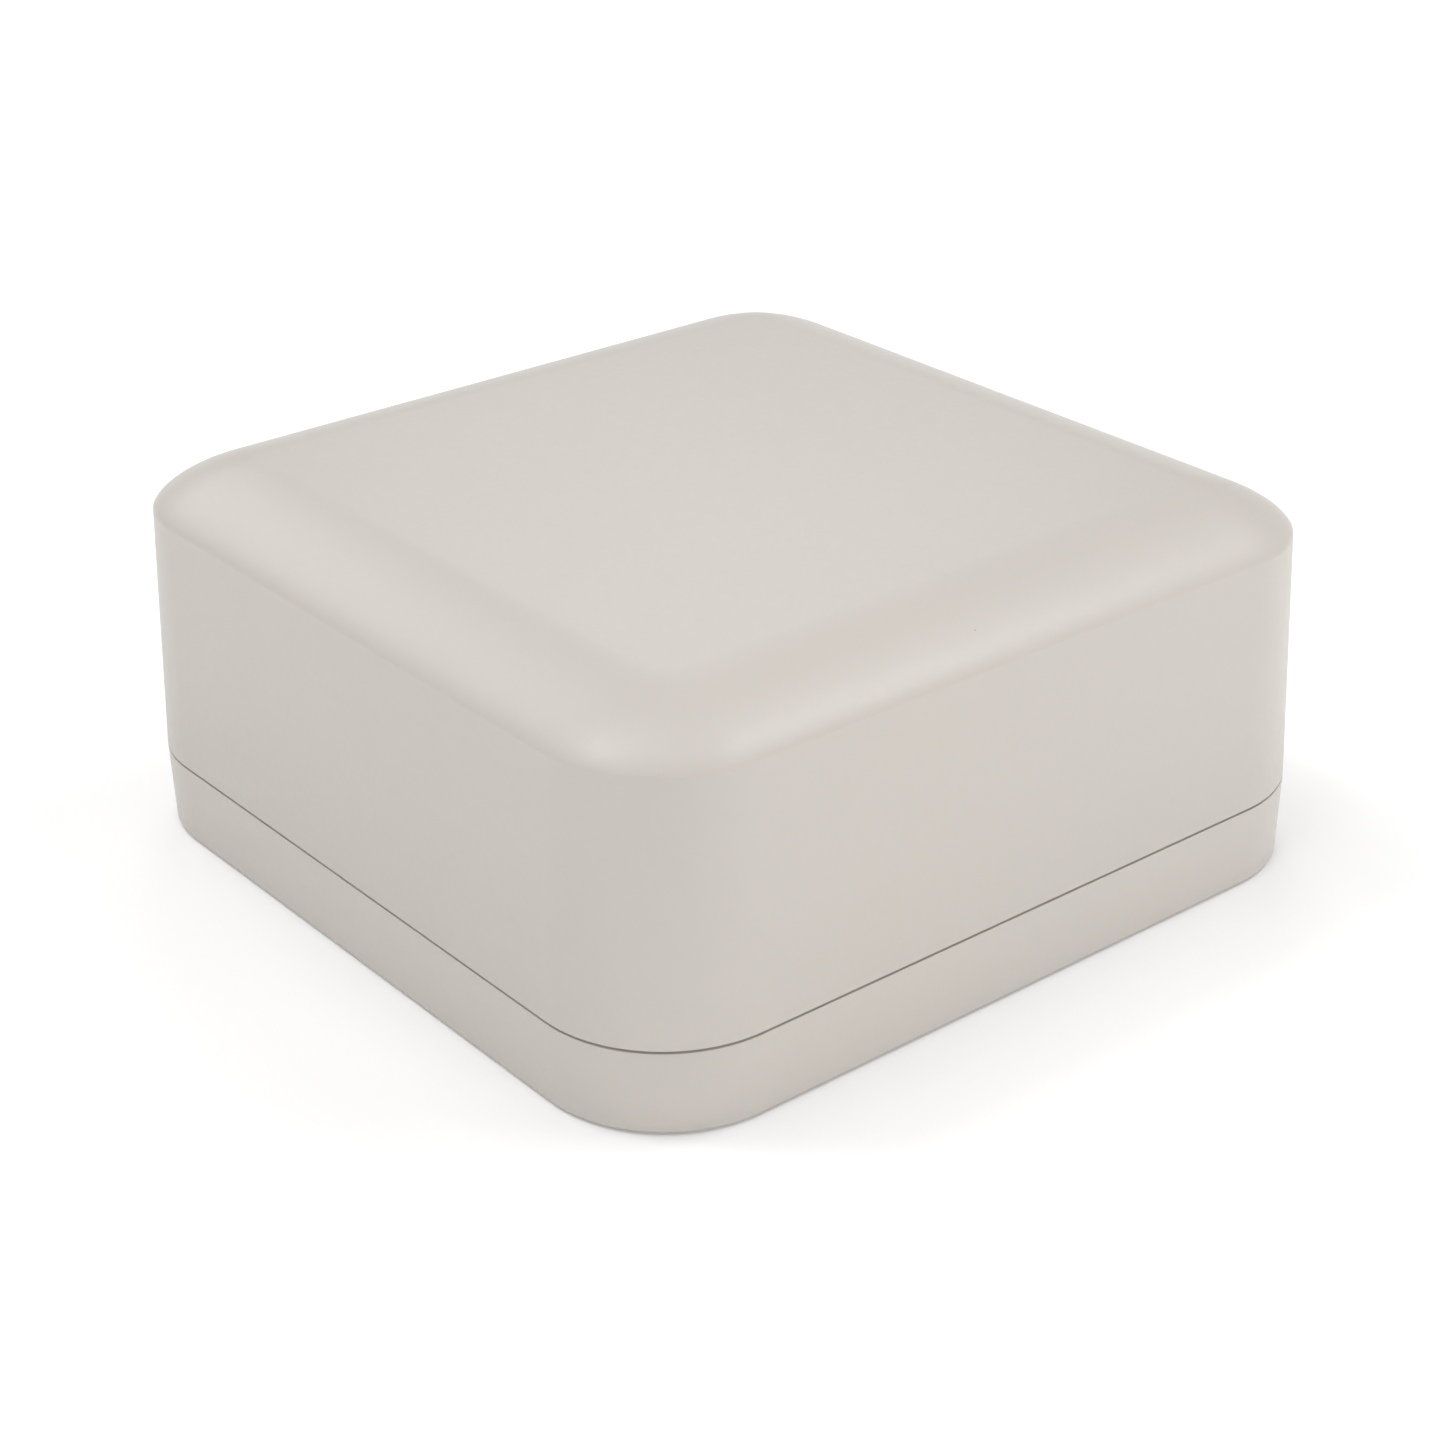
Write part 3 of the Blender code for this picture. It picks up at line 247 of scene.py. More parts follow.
def shell_finish():
    """Warm light grey moulded plastic with a fine spark-eroded grain and a few dust specks."""
    s = Shader("shell_plastic", (0.519, 0.486, 0.448), 0.40, Specular_IOR_Level=0.46)
    drift = s.remap(s.noise(14.0, 3.0), 0.35, 0.65)
    mottle = s.noise(900.0, 2.0)
    warm = s.mix(drift, (0.523, 0.488, 0.450), (0.515, 0.484, 0.446))
    grained = s.mix(s.remap(mottle, 0.3, 0.7, 0.0, 0.035), warm, (0.440, 0.410, 0.377))
    dots = s.sum("LESS_THAN", s.cells(260.0), 0.055)
    places = s.sum("GREATER_THAN", s.noise(75.0, 1.0), 0.735)
    s.feed(s.mix(s.sum("MULTIPLY", dots, places), grained, (0.34, 0.315, 0.28)), "Base Color")
    s.feed(s.remap(mottle, 0.3, 0.7, 0.37, 0.43), "Roughness")
    s.bump(s.noise(2600.0, 3.0, 0.6), 0.012 * MM)
    return s.material


def plain_finish(name, colour, roughness, metallic=0.0, mottle=0.12, scale=400.0, depth=0.004, **sockets):
    """A finish whose colour and roughness drift a little. Its surface has a fine grain, depth mm deep."""
    s = Shader(name, colour, roughness, metallic, **sockets)
    drift = s.noise(scale, 3.0)
    darker = tuple(c * (1 - mottle) for c in colour)
    lighter = tuple(min(1.0, c * (1 + mottle)) for c in colour)
    s.feed(s.mix(s.remap(drift, 0.3, 0.7), darker, lighter), "Base Color")
    s.feed(s.remap(drift, 0.3, 0.7, roughness * 0.88, min(1.0, roughness * 1.12)), "Roughness")
    if depth:
        s.bump(s.noise(3000.0, 3.0, 0.6), depth * MM)
    return s.material


def zinc_finish():
    """Zinc-plated sheet steel, with faint crystals and rubbed scratches."""
    s = Shader("zinc_plated_steel", (0.56, 0.57, 0.58), 0.36, 1.0)
    crystals = s.remap(s.cells(330.0, "Color"), 0.0, 1.0)
    s.feed(s.mix(crystals, (0.50, 0.51, 0.53), (0.62, 0.625, 0.63)), "Base Color")
    scratches = s.noise(60.0, 6.0, 0.7, (1.0, 14.0, 1.0))
    s.feed(s.remap(scratches, 0.3, 0.7, 0.26, 0.48), "Roughness")
    s.bump(s.noise(900.0, 4.0, 0.6), 0.004 * MM)
    return s.material


TRACK_PITCH = 1.1 * MM
TRACK_WIDTH = TRACK_PITCH * 0.13
TRACK_RUN = 7.0 * MM


def board_finish():
    """Green solder mask over copper tracks and ground planes, with vias whose uncut bores are painted near-black as
    painted shade.
    """
    s = Shader("solder_mask", (0.012, 0.085, 0.040), 0.32, Coat_Weight=0.3, Coat_Roughness=0.15)
    patches = s.remap(s.noise(38.0, 0.0), 0.495, 0.505)
    on_track = s.pick(patches, s.tracks(0.0), s.tracks(math.pi / 2))
    ground_plane = s.remap(s.noise(70.0, 1.0), 0.47, 0.49)
    copper = s.mix(on_track, (0.010, 0.078, 0.036), (0.026, 0.135, 0.061))
    mask = s.mix(ground_plane, copper, (0.016, 0.105, 0.048))
    via = s.cells(210.0)
    ring = s.remap(via, 0.125, 0.135, 1.0, 0.0)
    # Painted shade: each via's bore is not cut but painted as a near-black dot that stands for the shade inside the
    # hole.
    via_bore_shade = s.remap(via, 0.070, 0.078, 1.0, 0.0)
    ringed = s.mix(ring, mask, (0.42, 0.34, 0.16))
    s.feed(s.mix(via_bore_shade, ringed, (0.006, 0.010, 0.008)), "Base Color")
    s.feed(s.remap(ring, 0.0, 1.0, 0.34, 0.22), "Roughness")
    s.bump(on_track, 0.012 * MM)
    return s.material


def antenna_finish():
    """Pale green laminate with the weave of its glass cloth."""
    s = Shader("antenna_laminate", (0.24, 0.36, 0.22), 0.5)
    weave = s.node("ShaderNodeTexWave", s.place, [("Scale", 620.0)], wave_type="BANDS",
                   bands_direction="DIAGONAL").outputs["Fac"]
    s.feed(s.mix(s.remap(weave, 0.2, 0.8), (0.22, 0.34, 0.20), (0.27, 0.39, 0.25)), "Base Color")
    s.bump(weave, 0.006 * MM)
    return s.material


def extruded_finish():
    """Extruded aluminium with drawing lines along Y."""
    s = Shader("extruded_aluminium", (0.60, 0.61, 0.62), 0.34, 1.0)
    lines = s.noise(900.0, 4.0, 0.7, (1.0, 0.02, 1.0))
    s.feed(s.mix(s.remap(lines, 0.3, 0.7), (0.54, 0.55, 0.56), (0.66, 0.67, 0.68)), "Base Color")
    s.feed(s.remap(lines, 0.3, 0.7, 0.28, 0.44), "Roughness")
    s.bump(lines, 0.006 * MM)
    return s.material


def make_finishes():
    """Every finish of the part, by material slot."""
    return {
        "shell": shell_finish(),
        "gasket": plain_finish("silicone_seal", (0.030, 0.030, 0.032), 0.66, depth=0.006),
        "bracket_steel": zinc_finish(),
        "screw_steel": plain_finish("nickel_plated_steel", (0.55, 0.53, 0.50), 0.27, 1.0, 0.08),
        "circuit_board": board_finish(),
        "chip": plain_finish("moulded_epoxy", (0.014, 0.014, 0.015), 0.46, mottle=0.25, depth=0.006),
        "tinned_steel": plain_finish("tinned_steel", (0.64, 0.64, 0.62), 0.30, 1.0, 0.06, 160.0),
        "aluminium": extruded_finish(),
        "thermal_pad": plain_finish("thermal_pad", (0.30, 0.42, 0.52), 0.74, mottle=0.16, scale=1200.0),
        "white_plastic": plain_finish("white_nylon", (0.72, 0.71, 0.68), 0.38, mottle=0.03,
                                      Subsurface_Weight=0.15, Subsurface_Scale=0.001),
        "black_plastic": plain_finish("black_plastic", (0.018, 0.018, 0.019), 0.40, mottle=0.2),
        "ferrite": plain_finish("sintered_ferrite", (0.040, 0.038, 0.037), 0.58, mottle=0.3, scale=900.0,
                                depth=0.010),
        "capacitor_sleeve": plain_finish("capacitor_sleeve", (0.022, 0.030, 0.055), 0.28, mottle=0.1),
        "clear_plastic": plain_finish("clear_acrylic", (0.94, 0.95, 0.95), 0.06, mottle=0.01, depth=0.0,
                                      Transmission_Weight=1.0, IOR=1.49),
        "antenna_board": antenna_finish(),
        "brass": plain_finish("gilded_brass", (0.80, 0.58, 0.26), 0.24, 1.0, 0.07),
        "coax": plain_finish("cable_jacket", (0.075, 0.075, 0.078), 0.36, mottle=0.1),
    }


# ---------------------------------------------------------------- mesh helpers

def sweep(first, last, steps):
    """Angles from step first to step last, where steps of them make a quarter turn."""
    way = 1 if last >= first else -1
    return [math.pi / 2 * k / steps for k in range(first, last + way, way)]


def circle(steps, start=0.0):
    """Angles all round."""
    return [2 * math.pi * (k + start) / steps for k in range(steps)]


def plan_middle(node):
    """The middle of a CAD node in plan, at height 0."""
    low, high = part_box(node)
    return ((low.x + high.x) / 2, (low.y + high.y) / 2, 0)


def rounded_square(inset, z):
    """The plan outline of the shells, in by inset at every side."""
    radius = CORNER_RADIUS - inset
    middle = WIDTH / 2 - inset - radius
    ring = []
    for quarter, (sx, sy) in enumerate(CORNERS):
        for step in range(CORNER_STEPS + 1):
            angle = (quarter + step / CORNER_STEPS) * math.pi / 2
            ring.append((sx * middle + radius * math.cos(angle), sy * middle + radius * math.sin(angle), z))
    return ring


def skin(bm, rings, closed=False):
    """Skin rings of equal length, capped at the ends or joined last to first."""
    rows = [[bm.verts.new(point) for point in ring] for ring in rings]
    pairs = list(zip(rows, rows[1:]))
    if closed:
        pairs.append((rows[-1], rows[0]))
    for lower, upper in pairs:
        for i in range(len(lower)):
            j = (i + 1) % len(lower)
            bm.faces.new((lower[i], lower[j], upper[j], upper[i]))
    if not closed:
        bm.faces.new(rows[0])
        bm.faces.new(rows[-1])


def turned(bm, profile, place=(0.0, 0.0, 0.0), axis="Z", steps=ROUND_STEPS, closed=False, lobes=None):
    """Turn (radius, height) pairs about an axis through place.

    lobes(row, angle) gives a factor on the radius. A pair of radius 0 becomes one vertex.
    """
    rows = []
    for row, (radius, height) in enumerate(profile):
        ring = []
        for i in range(1 if radius == 0 else steps):
            angle = 2 * math.pi * (i + 0.5) / steps
            reach = radius * (lobes(row, angle) if lobes else 1.0)
            u = reach * math.cos(angle)
            v = reach * math.sin(angle)
            offset = (u, v, height) if axis == "Z" else (v, height, u)
            ring.append(bm.verts.new([p + o for p, o in zip(place, offset)]))
        rows.append(ring)
    pairs = list(zip(rows, rows[1:]))
    if closed:
        pairs.append((rows[-1], rows[0]))
    for lower, upper in pairs:
        for i in range(steps):
            j = (i + 1) % steps
            corners = [lower[i % len(lower)], lower[j % len(lower)]]
            corners += [upper[j % len(upper)], upper[i % len(upper)]]
            distinct = list(dict.fromkeys(corners))
            if len(distinct) > 2:
                bm.faces.new(distinct)
    if not closed:
        for ring in (rows[0], rows[-1]):
            if len(ring) > 2:
                bm.faces.new(ring)


def disc(bm, radius, low, high, place=(0.0, 0.0, 0.0), axis="Z", steps=ROUND_STEPS):
    """A solid cylinder."""
    turned(bm, ((0, low), (radius, low), (radius, high), (0, high)), place, axis, steps)


def box(bm, low, high, bevel=0.0, segments=2):
    """A box between two corners, with rounded edges."""
    made = bmesh.ops.create_cube(bm, size=1.0)["verts"]
    for vertex in made:
        for i in range(3):
            vertex.co[i] = (low[i] + high[i]) / 2 + vertex.co[i] * (high[i] - low[i])
    if bevel:
        edges = list({edge for vertex in made for edge in vertex.link_edges})
        bmesh.ops.bevel(bm, geom=edges, offset=bevel, segments=segments, profile=0.5, affect="EDGES")


def prism(bm, outline, low, high):
    """An outline of (x, y) points, straight up from low to high."""
    skin(bm, [[(x, y, z) for x, y in outline] for z in (low, high)])


def tube(bm, points, radius, steps=10):
    """A round tube along points, with flat ends."""
    points = [Vector(p) for p in points]
    rows = []
    side = None
    for i, point in enumerate(points):
        along = (points[min(i + 1, len(points) - 1)] - points[max(i - 1, 0)]).normalized()
        if side is None:
            side = along.orthogonal().normalized()
        side = (side - along * side.dot(along)).normalized()
        other = along.cross(side)
        rows.append([point + radius * (side * math.cos(a) + other * math.sin(a)) for a in circle(steps)])
    skin(bm, rows)


def arc_block(bm, inner, outer, start, end, low, high, steps=12):
    """A block bent round the Z axis."""
    angles = [start + (end - start) * i / steps for i in range(steps + 1)]
    outline = [(outer * math.cos(a), outer * math.sin(a)) for a in angles]
    outline += [(inner * math.cos(a), inner * math.sin(a)) for a in reversed(angles)]
    prism(bm, outline, low, high)


def carve(bm, tools, bevel=0.0, bevel_angle=50.0):
    """Add tools to a solid or cut them from it, then round its sharp edges. Frees every bmesh given."""
    made = []
    for number, solid in enumerate([bm] + [tool for tool, _ in tools]):
        bmesh.ops.recalc_face_normals(solid, faces=solid.faces)
        mesh = bpy.data.meshes.new(f"carve_{number}")
        solid.to_mesh(mesh)
        solid.free()
        obj = bpy.data.objects.new(mesh.name, mesh)
        bpy.context.scene.collection.objects.link(obj)
        made.append(obj)
    for obj, (_, operation) in zip(made[1:], tools):
        step = made[0].modifiers.new("carve", "BOOLEAN")
        step.operation = operation
        step.solver = "EXACT"
        step.object = obj
    if bevel:
        weld = made[0].modifiers.new("weld", "WELD")
        weld.merge_threshold = 0.002 * MM
        soften = made[0].modifiers.new("soften", "BEVEL")
        soften.width = bevel
        soften.segments = 2
        soften.limit_method = "ANGLE"
        soften.angle_limit = math.radians(bevel_angle)
        soften.miter_outer = "MITER_ARC"
    graph = bpy.context.evaluated_depsgraph_get()
    graph.update()
    mesh = bpy.data.meshes.new_from_object(made[0].evaluated_get(graph))
    result = bmesh.new()
    result.from_mesh(mesh)
    bpy.data.meshes.remove(mesh)
    for obj in made:
        old = obj.data
        bpy.data.objects.remove(obj)
        bpy.data.meshes.remove(old)
    return result


def drilled(bm, holes, **rounding):
    """A solid with one set of holes cut from it."""
    return carve(bm, [(holes, "DIFFERENCE")], **rounding)


def piece(name, bm, slot, *nodes, body="housing"):
    """Make the mesh a piece of the model: its finish, its body and the CAD nodes it stands for."""
    bmesh.ops.recalc_face_normals(bm, faces=bm.faces)
    mesh = bpy.data.meshes.new(name)
    bm.to_mesh(mesh)
    bm.free()
    mesh.shade_smooth()
    mesh.set_sharp_from_angle(angle=SMOOTH_ANGLE)
    mesh.materials.append(FINISHES[slot])
    obj = bpy.data.objects.new(name, mesh)
    bpy.context.scene.collection.objects.link(obj)
    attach(obj, body)
    if nodes:
        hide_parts(*nodes)
    return obj


def edge_curve(inset, drop, base_inset, low, steps):
    """Insets and heights along the rounding of the top edge, from the side to the top."""
    power = 2 / EDGE_POWER
    points = []
    for step in range(steps + 1):
        angle = (step / steps) ** EDGE_CROWDING * math.pi / 2
        across = max(0.0, math.cos(angle)) ** power
        points.append((base_inset + inset * (1 - across), low + drop * math.sin(angle) ** power))
    return points


# ---------------------------------------------------------------- shells

SOFT = 0.2 * MM             # rounding of moulded edges
REBATE_HEIGHT = 3.1 * MM
SOCKET_DEPTH_ABOVE = 6.0 * MM
SOCKET_WALL = 1.4 * MM
ROOT_DEPTH = WALL / 3       # how far a boss runs into the wall that it stands on


def make_cover():
    """The upper shell: fine top edge, rebate, screw bosses and the socket of the light pipe."""
    side_top = TOP_Z - EDGE_DROP
    draft = (side_top - COVER_BOTTOM_Z) * COVER_DRAFT
    rebate_inset = WALL - LIP - FIT
    rebate_top = COVER_BOTTOM_Z + REBATE_HEIGHT
    profile = edge_curve(EDGE_INSET - WALL, EDGE_DROP - WALL, WALL + draft, side_top, INNER_EDGE_STEPS)[::-1]
    profile += [(WALL + 0.1 * MM, rebate_top), (rebate_inset, rebate_top), (rebate_inset, COVER_BOTTOM_Z),
                (EDGE_BREAK, COVER_BOTTOM_Z), (EDGE_BREAK * 0.3, COVER_BOTTOM_Z + EDGE_BREAK * 0.3),
                (0.0, COVER_BOTTOM_Z + EDGE_BREAK)]
    profile += edge_curve(EDGE_INSET, EDGE_DROP, draft, side_top, EDGE_STEPS)
    bm = bmesh.new()
    skin(bm, [rounded_square(inset, z) for inset, z in profile])
    piece("cover_shell", bm, "shell", "cover", body="lid")

    # Bosses and socket, rooted in the ceiling
    bm = bmesh.new()
    root_z = CEILING_Z + ROOT_DEPTH
    radius = COVER_BOSS_RADIUS
    boss = [(SCREW_HOLE, COVER_HOLE_TOP), (SCREW_HOLE, COVER_BOTTOM_Z + SOFT), (SCREW_HOLE + SOFT, COVER_BOTTOM_Z),
            (radius - SOFT, COVER_BOTTOM_Z), (radius, COVER_BOTTOM_Z + SOFT), (radius, CEILING_Z - 4 * SOFT),
            (radius + SOFT, CEILING_Z - SOFT), (radius + 4 * SOFT, CEILING_Z), (radius + 4 * SOFT, root_z)]
    for sx, sy in CORNERS:
        turned(bm, boss, (sx * BOSS_XY, sy * BOSS_XY, 0))
    low = CEILING_Z - SOCKET_DEPTH_ABOVE
    inner = PIPE_RADIUS + FIT
    outer = inner + SOCKET_WALL
    turned(bm, ((inner, CEILING_Z - 0.05 * MM), (inner, low + SOFT), (inner + SOFT, low), (outer - SOFT, low),
                (outer, low + SOFT), (outer, CEILING_Z - 2 * SOFT), (outer + 2 * SOFT, CEILING_Z),
                (outer + 2 * SOFT, root_z)), (0, LIGHT_Y, 0))
    piece("cover_bosses", bm, "shell", body="lid")


def base_body():
    """The lower shell's floor and side with its tongue, before anything stands on it."""
    lip_top = BASE_TOP_Z + LIP_HEIGHT
    foot = BASE_DRAFT * (BASE_TOP_Z - RIM_Z)
    nick = EDGE_BREAK * 0.3
    profile = [(WALL, FLOOR_Z), (WALL, lip_top), (WALL - LIP, lip_top), (WALL - LIP, BASE_TOP_Z),
               (EDGE_BREAK, BASE_TOP_Z), (nick, BASE_TOP_Z - nick), (0.0, BASE_TOP_Z - EDGE_BREAK),
               (foot, RIM_Z + EDGE_BREAK), (foot + nick, RIM_Z + nick), (foot + EDGE_BREAK, RIM_Z)]
    bm = bmesh.new()
    skin(bm, [rounded_square(inset, z) for inset, z in profile])
    return bm


def make_base():
    """The lower shell: tongue, bracket recess with its slots, cable pocket, posts and bosses."""
    bm = base_body()
    root_z = (PLATE_Z + FLOOR_Z) / 2
    tools = []

    def tool(operation):
        made = bmesh.new()
        tools.append((made, operation))
        return made

    disc(tool("UNION"), RECESS_RADIUS + WALL, root_z, PLATE_TOP_Z, steps=DISC_STEPS)
    box(tool("UNION"), (-POCKET_HALF - POCKET_WALL, POCKET_FRONT - POCKET_WALL, root_z + FIT),
        (POCKET_HALF + POCKET_WALL, POCKET_BACK + POCKET_WALL, POCKET_TOP_Z))
    posts = tool("UNION")
    disc(tool("DIFFERENCE"), RECESS_RADIUS, RIM_Z - WALL, PLATE_Z, steps=DISC_STEPS)
    box(tool("DIFFERENCE"), (-POCKET_HALF, POCKET_FRONT, -WALL), (POCKET_HALF, POCKET_BACK, POCKET_CEILING_Z))
    holes = tool("DIFFERENCE")
    for sx, sy in CORNERS:
        boss = (sx * BOSS_XY, sy * BOSS_XY, 0)
        post = (sx * POST_X, sy * POST_Y, 0)
        disc(posts, BASE_BOSS_RADIUS, root_z, BASE_TOP_Z, boss)
        disc(posts, POST_RADIUS, root_z, BOARD_LOW.z - FIT, post)
        turned(holes, ((0, -WALL), (SCREW_BORE, -WALL), (SCREW_BORE, SCREW_SEAT_Z), (SCREW_HOLE, SCREW_SEAT_Z),
                       (SCREW_HOLE, BASE_TOP_Z + WALL), (0, BASE_TOP_Z + WALL)), boss)
        disc(holes, POST_HOLE, BOARD_LOW.z - POST_HOLE_DEPTH, BOARD_HIGH.z, post)

    slack = HOOK_SLACK / HOOK_RADIUS
    reach = HOOK_THICKNESS / 2 + HOOK_SLACK
    for middle in HOOK_ANGLES:
        arc_block(holes, HOOK_RADIUS - reach, HOOK_RADIUS + reach, middle - HALF_HOOK - slack - TWIST,
                  middle + HALF_HOOK + slack, PLATE_Z - WALL, PLATE_TOP_Z + WALL)
    wall_low = POCKET_BACK - POCKET_WALL
    wall_high = POCKET_BACK + 2 * POCKET_WALL
    box(holes, (SOCKET_X - SOCKET_HALF - WINDOW_MARGIN, wall_low, SOCKET_LOW_Z - WINDOW_MARGIN),
        (SOCKET_X + SOCKET_HALF + WINDOW_MARGIN, wall_high, SOCKET_HIGH_Z + WINDOW_MARGIN))
    disc(holes, POWER_BORE + WINDOW_MARGIN, wall_low, wall_high, (POWER_X, 0, POWER_Z), "Y")
    disc(holes, BUTTON_RADIUS + FIT, wall_low, wall_high, (BUTTON_X, 0, BUTTON_Z), "Y")
    piece("base_shell", carve(bm, tools, bevel=0.15 * MM), "shell", "base")


# ---------------------------------------------------------------- bracket, screws and seal

BRACKET_THICKNESS = 1.2 * MM
BRACKET_HOLE = 26.0 * MM
BRACKET_SCREW_HOLE = 2.25 * MM
BRACKET_SCREW_SINK = 3.4 * MM
HOOK_BEND = 0.8 * MM


def hook_outline(middle):
    """A bayonet hook's outline, as (angle, z) pairs: a leg, and an arm that reaches sideways."""
    arm_low = PLATE_TOP_Z + FIT
    arm_high = arm_low + HOOK_THICKNESS
    start = middle - HALF_HOOK
    corner = middle + HALF_HOOK
    tip = corner + HOOK_REACH / HOOK_RADIUS
    along = [corner + (tip - corner) * i / 6 for i in range(7)]
    path = [(start, BRACKET_THICKNESS / 2), (corner, BRACKET_THICKNESS / 2)]
    path += [(angle, arm_low) for angle in along]
    path += [(angle, arm_high) for angle in reversed(along)]
    path += [(start + HOOK_BEND / HOOK_RADIUS * (1 - math.sin(a)), arm_high - HOOK_BEND * (1 - math.cos(a)))
             for a in sweep(0, 4, 4)]
    return path


def make_bracket():
    """The pressed steel disc with its bayonet hooks and countersunk screw holes."""
    thickness = BRACKET_THICKNESS
    outer = (BRACKET_HIGH.y - BRACKET_LOW.y) / 2
    bm = bmesh.new()
    turned(bm, ((BRACKET_HOLE, 0), (outer, 0), (outer, thickness), (BRACKET_HOLE, thickness)),
           steps=DISC_STEPS, closed=True)
    hooks = bmesh.new()
    for middle in HOOK_ANGLES:
        path = hook_outline(middle)
        skin(hooks, [[(radius * math.cos(a), radius * math.sin(a), z) for a, z in path]
                     for radius in (HOOK_RADIUS - HOOK_THICKNESS / 2, HOOK_RADIUS + HOOK_THICKNESS / 2)])
    holes = bmesh.new()
    ring = (BRACKET_HOLE + outer) / 2
    for index in range(4):
        angle = math.pi / 4 + index * math.pi / 2
        turned(holes, ((0, -thickness), (BRACKET_SCREW_HOLE, -thickness), (BRACKET_SCREW_HOLE, thickness * 0.55),
                       (BRACKET_SCREW_SINK, thickness * 2), (0, thickness * 2)),
               (ring * math.cos(angle), ring * math.sin(angle), 0))
    bm = carve(bm, [(hooks, "UNION"), (holes, "DIFFERENCE")], bevel=0.12 * MM)
    piece("bracket_disc", bm, "bracket_steel", "mounting_bracket", body="bracket")


# Screws: shank radius, length under the head, head radius, head height
COVER_SCREW = (1.4 * MM, 14.0 * MM, 2.8 * MM, 2.0 * MM)
BOARD_SCREW = (1.2 * MM, 6.0 * MM, 2.6 * MM, 1.7 * MM)
THREAD_STEPS = 24           # points round the thread
PITCH_STEPS = 8             # rings for each turn of the thread
THREAD_START = 0.7 * MM


def screw_head(bm, place, direction, sizes):
    """A pan head with a six-lobed recess."""
    radius, _, head_radius, head_height = sizes
    recess = head_radius * 0.50
    floor = head_height * 0.55 - head_height

    def lobes(row, angle):
        return 1 + 0.11 * math.cos(6 * direction * angle) if row in (1, 2) else 1.0

    rows = [(0, floor), (recess * 0.94, floor), (recess, -head_height * 0.97), (recess * 1.16, -head_height)]
    rows += [(head_radius * (0.66 + 0.34 * math.sin(a)), -head_height * (0.34 + 0.66 * math.cos(a)))
             for a in sweep(0, 8, 8)]
    rows += [(head_radius, -0.12 * MM), (head_radius - 0.12 * MM, 0), (radius * 1.02, 0),
             (radius * 0.98, 0.5 * MM), (radius * 0.80, 0.8 * MM)]
    turned(bm, [(r, direction * h) for r, h in rows], place, steps=48, lobes=lobes)


def screw_thread(bm, place, direction, sizes):
    """A rolled thread that fades out at both ends, and a blunt tip."""
    radius, length = sizes[:2]
    pitch = 0.55 * radius
    count = int((length - 0.8 * MM - radius) / pitch * PITCH_STEPS)
    x, y, z = place

    def ring(height, share):
        return [(x + radius * share(a) * math.cos(a), y + radius * share(a) * math.sin(a), z + direction * height)
                for a in circle(THREAD_STEPS)]

    grid = []
    for row in range(count + 1):
        height = THREAD_START + row * pitch / PITCH_STEPS
        fade = min(1.0, row / PITCH_STEPS, (count - row) / PITCH_STEPS)

        def crest(angle):
            phase = (height / pitch - direction * angle / (2 * math.pi)) % 1.0
            return 0.78 + 0.22 * max(0.0, 1 - abs(phase - 0.5) * 2.6) * fade

        grid.append(ring(height, crest))
    end = THREAD_START + count * pitch / PITCH_STEPS
    grid.append(ring(end + 0.45 * radius, lambda angle: 0.6))
    grid.append(ring(end + 0.85 * radius, lambda angle: 0.25))
    skin(bm, grid)


def make_screws():
    """Four screws that hold the cover from below, and four that hold the board from above."""
    for number in range(1, 5):
        for kind, sizes, direction in (("cover", COVER_SCREW, 1), ("board", BOARD_SCREW, -1)):
            node = f"{kind}_screw_{number}"
            low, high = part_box(node)
            x, y, _ = plan_middle(node)
            under_head = low.z + sizes[3] if direction > 0 else high.z - sizes[3]
            bm = bmesh.new()
            screw_head(bm, (x, y, under_head), direction, sizes)
            screw_thread(bm, (x, y, under_head), direction, sizes)
            piece(f"{node}_fine", bm, "screw_steel", node)


def make_gasket():
    """The seal on the base's tongue, with a rounded section."""
    low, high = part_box("seal_gasket")
    middle = WALL - LIP / 2
    centre_z = (low.z + high.z) / 2
    wide = 0.35 * MM
    tall = (high.z - low.z) / 2
    bm = bmesh.new()
    skin(bm, [rounded_square(middle + wide * math.cos(a), centre_z + tall * math.sin(a))
              for a in circle(12, 0.5)], closed=True)
    piece("gasket_ring", bm, "gasket", "seal_gasket")


# ---------------------------------------------------------------- board and chips

BOARD_CUT = 30.081 * MM     # where the cut corners meet the board's sides, from its middle
SMALL_PITCH = 2.05 * MM     # grid of the small parts
SMALL_HALF = (0.80 * MM, 0.40 * MM)
SMALL_CLEARANCE = 1.5 * MM
SMALL_REACH = 46 * MM
SMALL_DIAGONAL = 73 * MM
SMALL_ROWS = 22
NOT_ON_BOARD = ("cover", "base", "seal_gasket", "mounting_bracket", "main_board", "light_pipe")


def taken_places():
    """The boxes of everything that stands on the board."""
    boxes = [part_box(node) for node in NODES if node not in NOT_ON_BOARD]
    return [(low, high) for low, high in boxes if high.z > BOARD_HIGH.z and low.z < BOARD_HIGH.z + 4 * MM]


def board_outline():
    """The board's outline with its cut corners, from the right."""
    half = BOARD_HIGH.x
    points = []
    for sx, sy in CORNERS:
        pair = [(sx * half, sy * BOARD_CUT), (sx * BOARD_CUT, sy * half)]
        points += pair if sx == sy else pair[::-1]
    return points


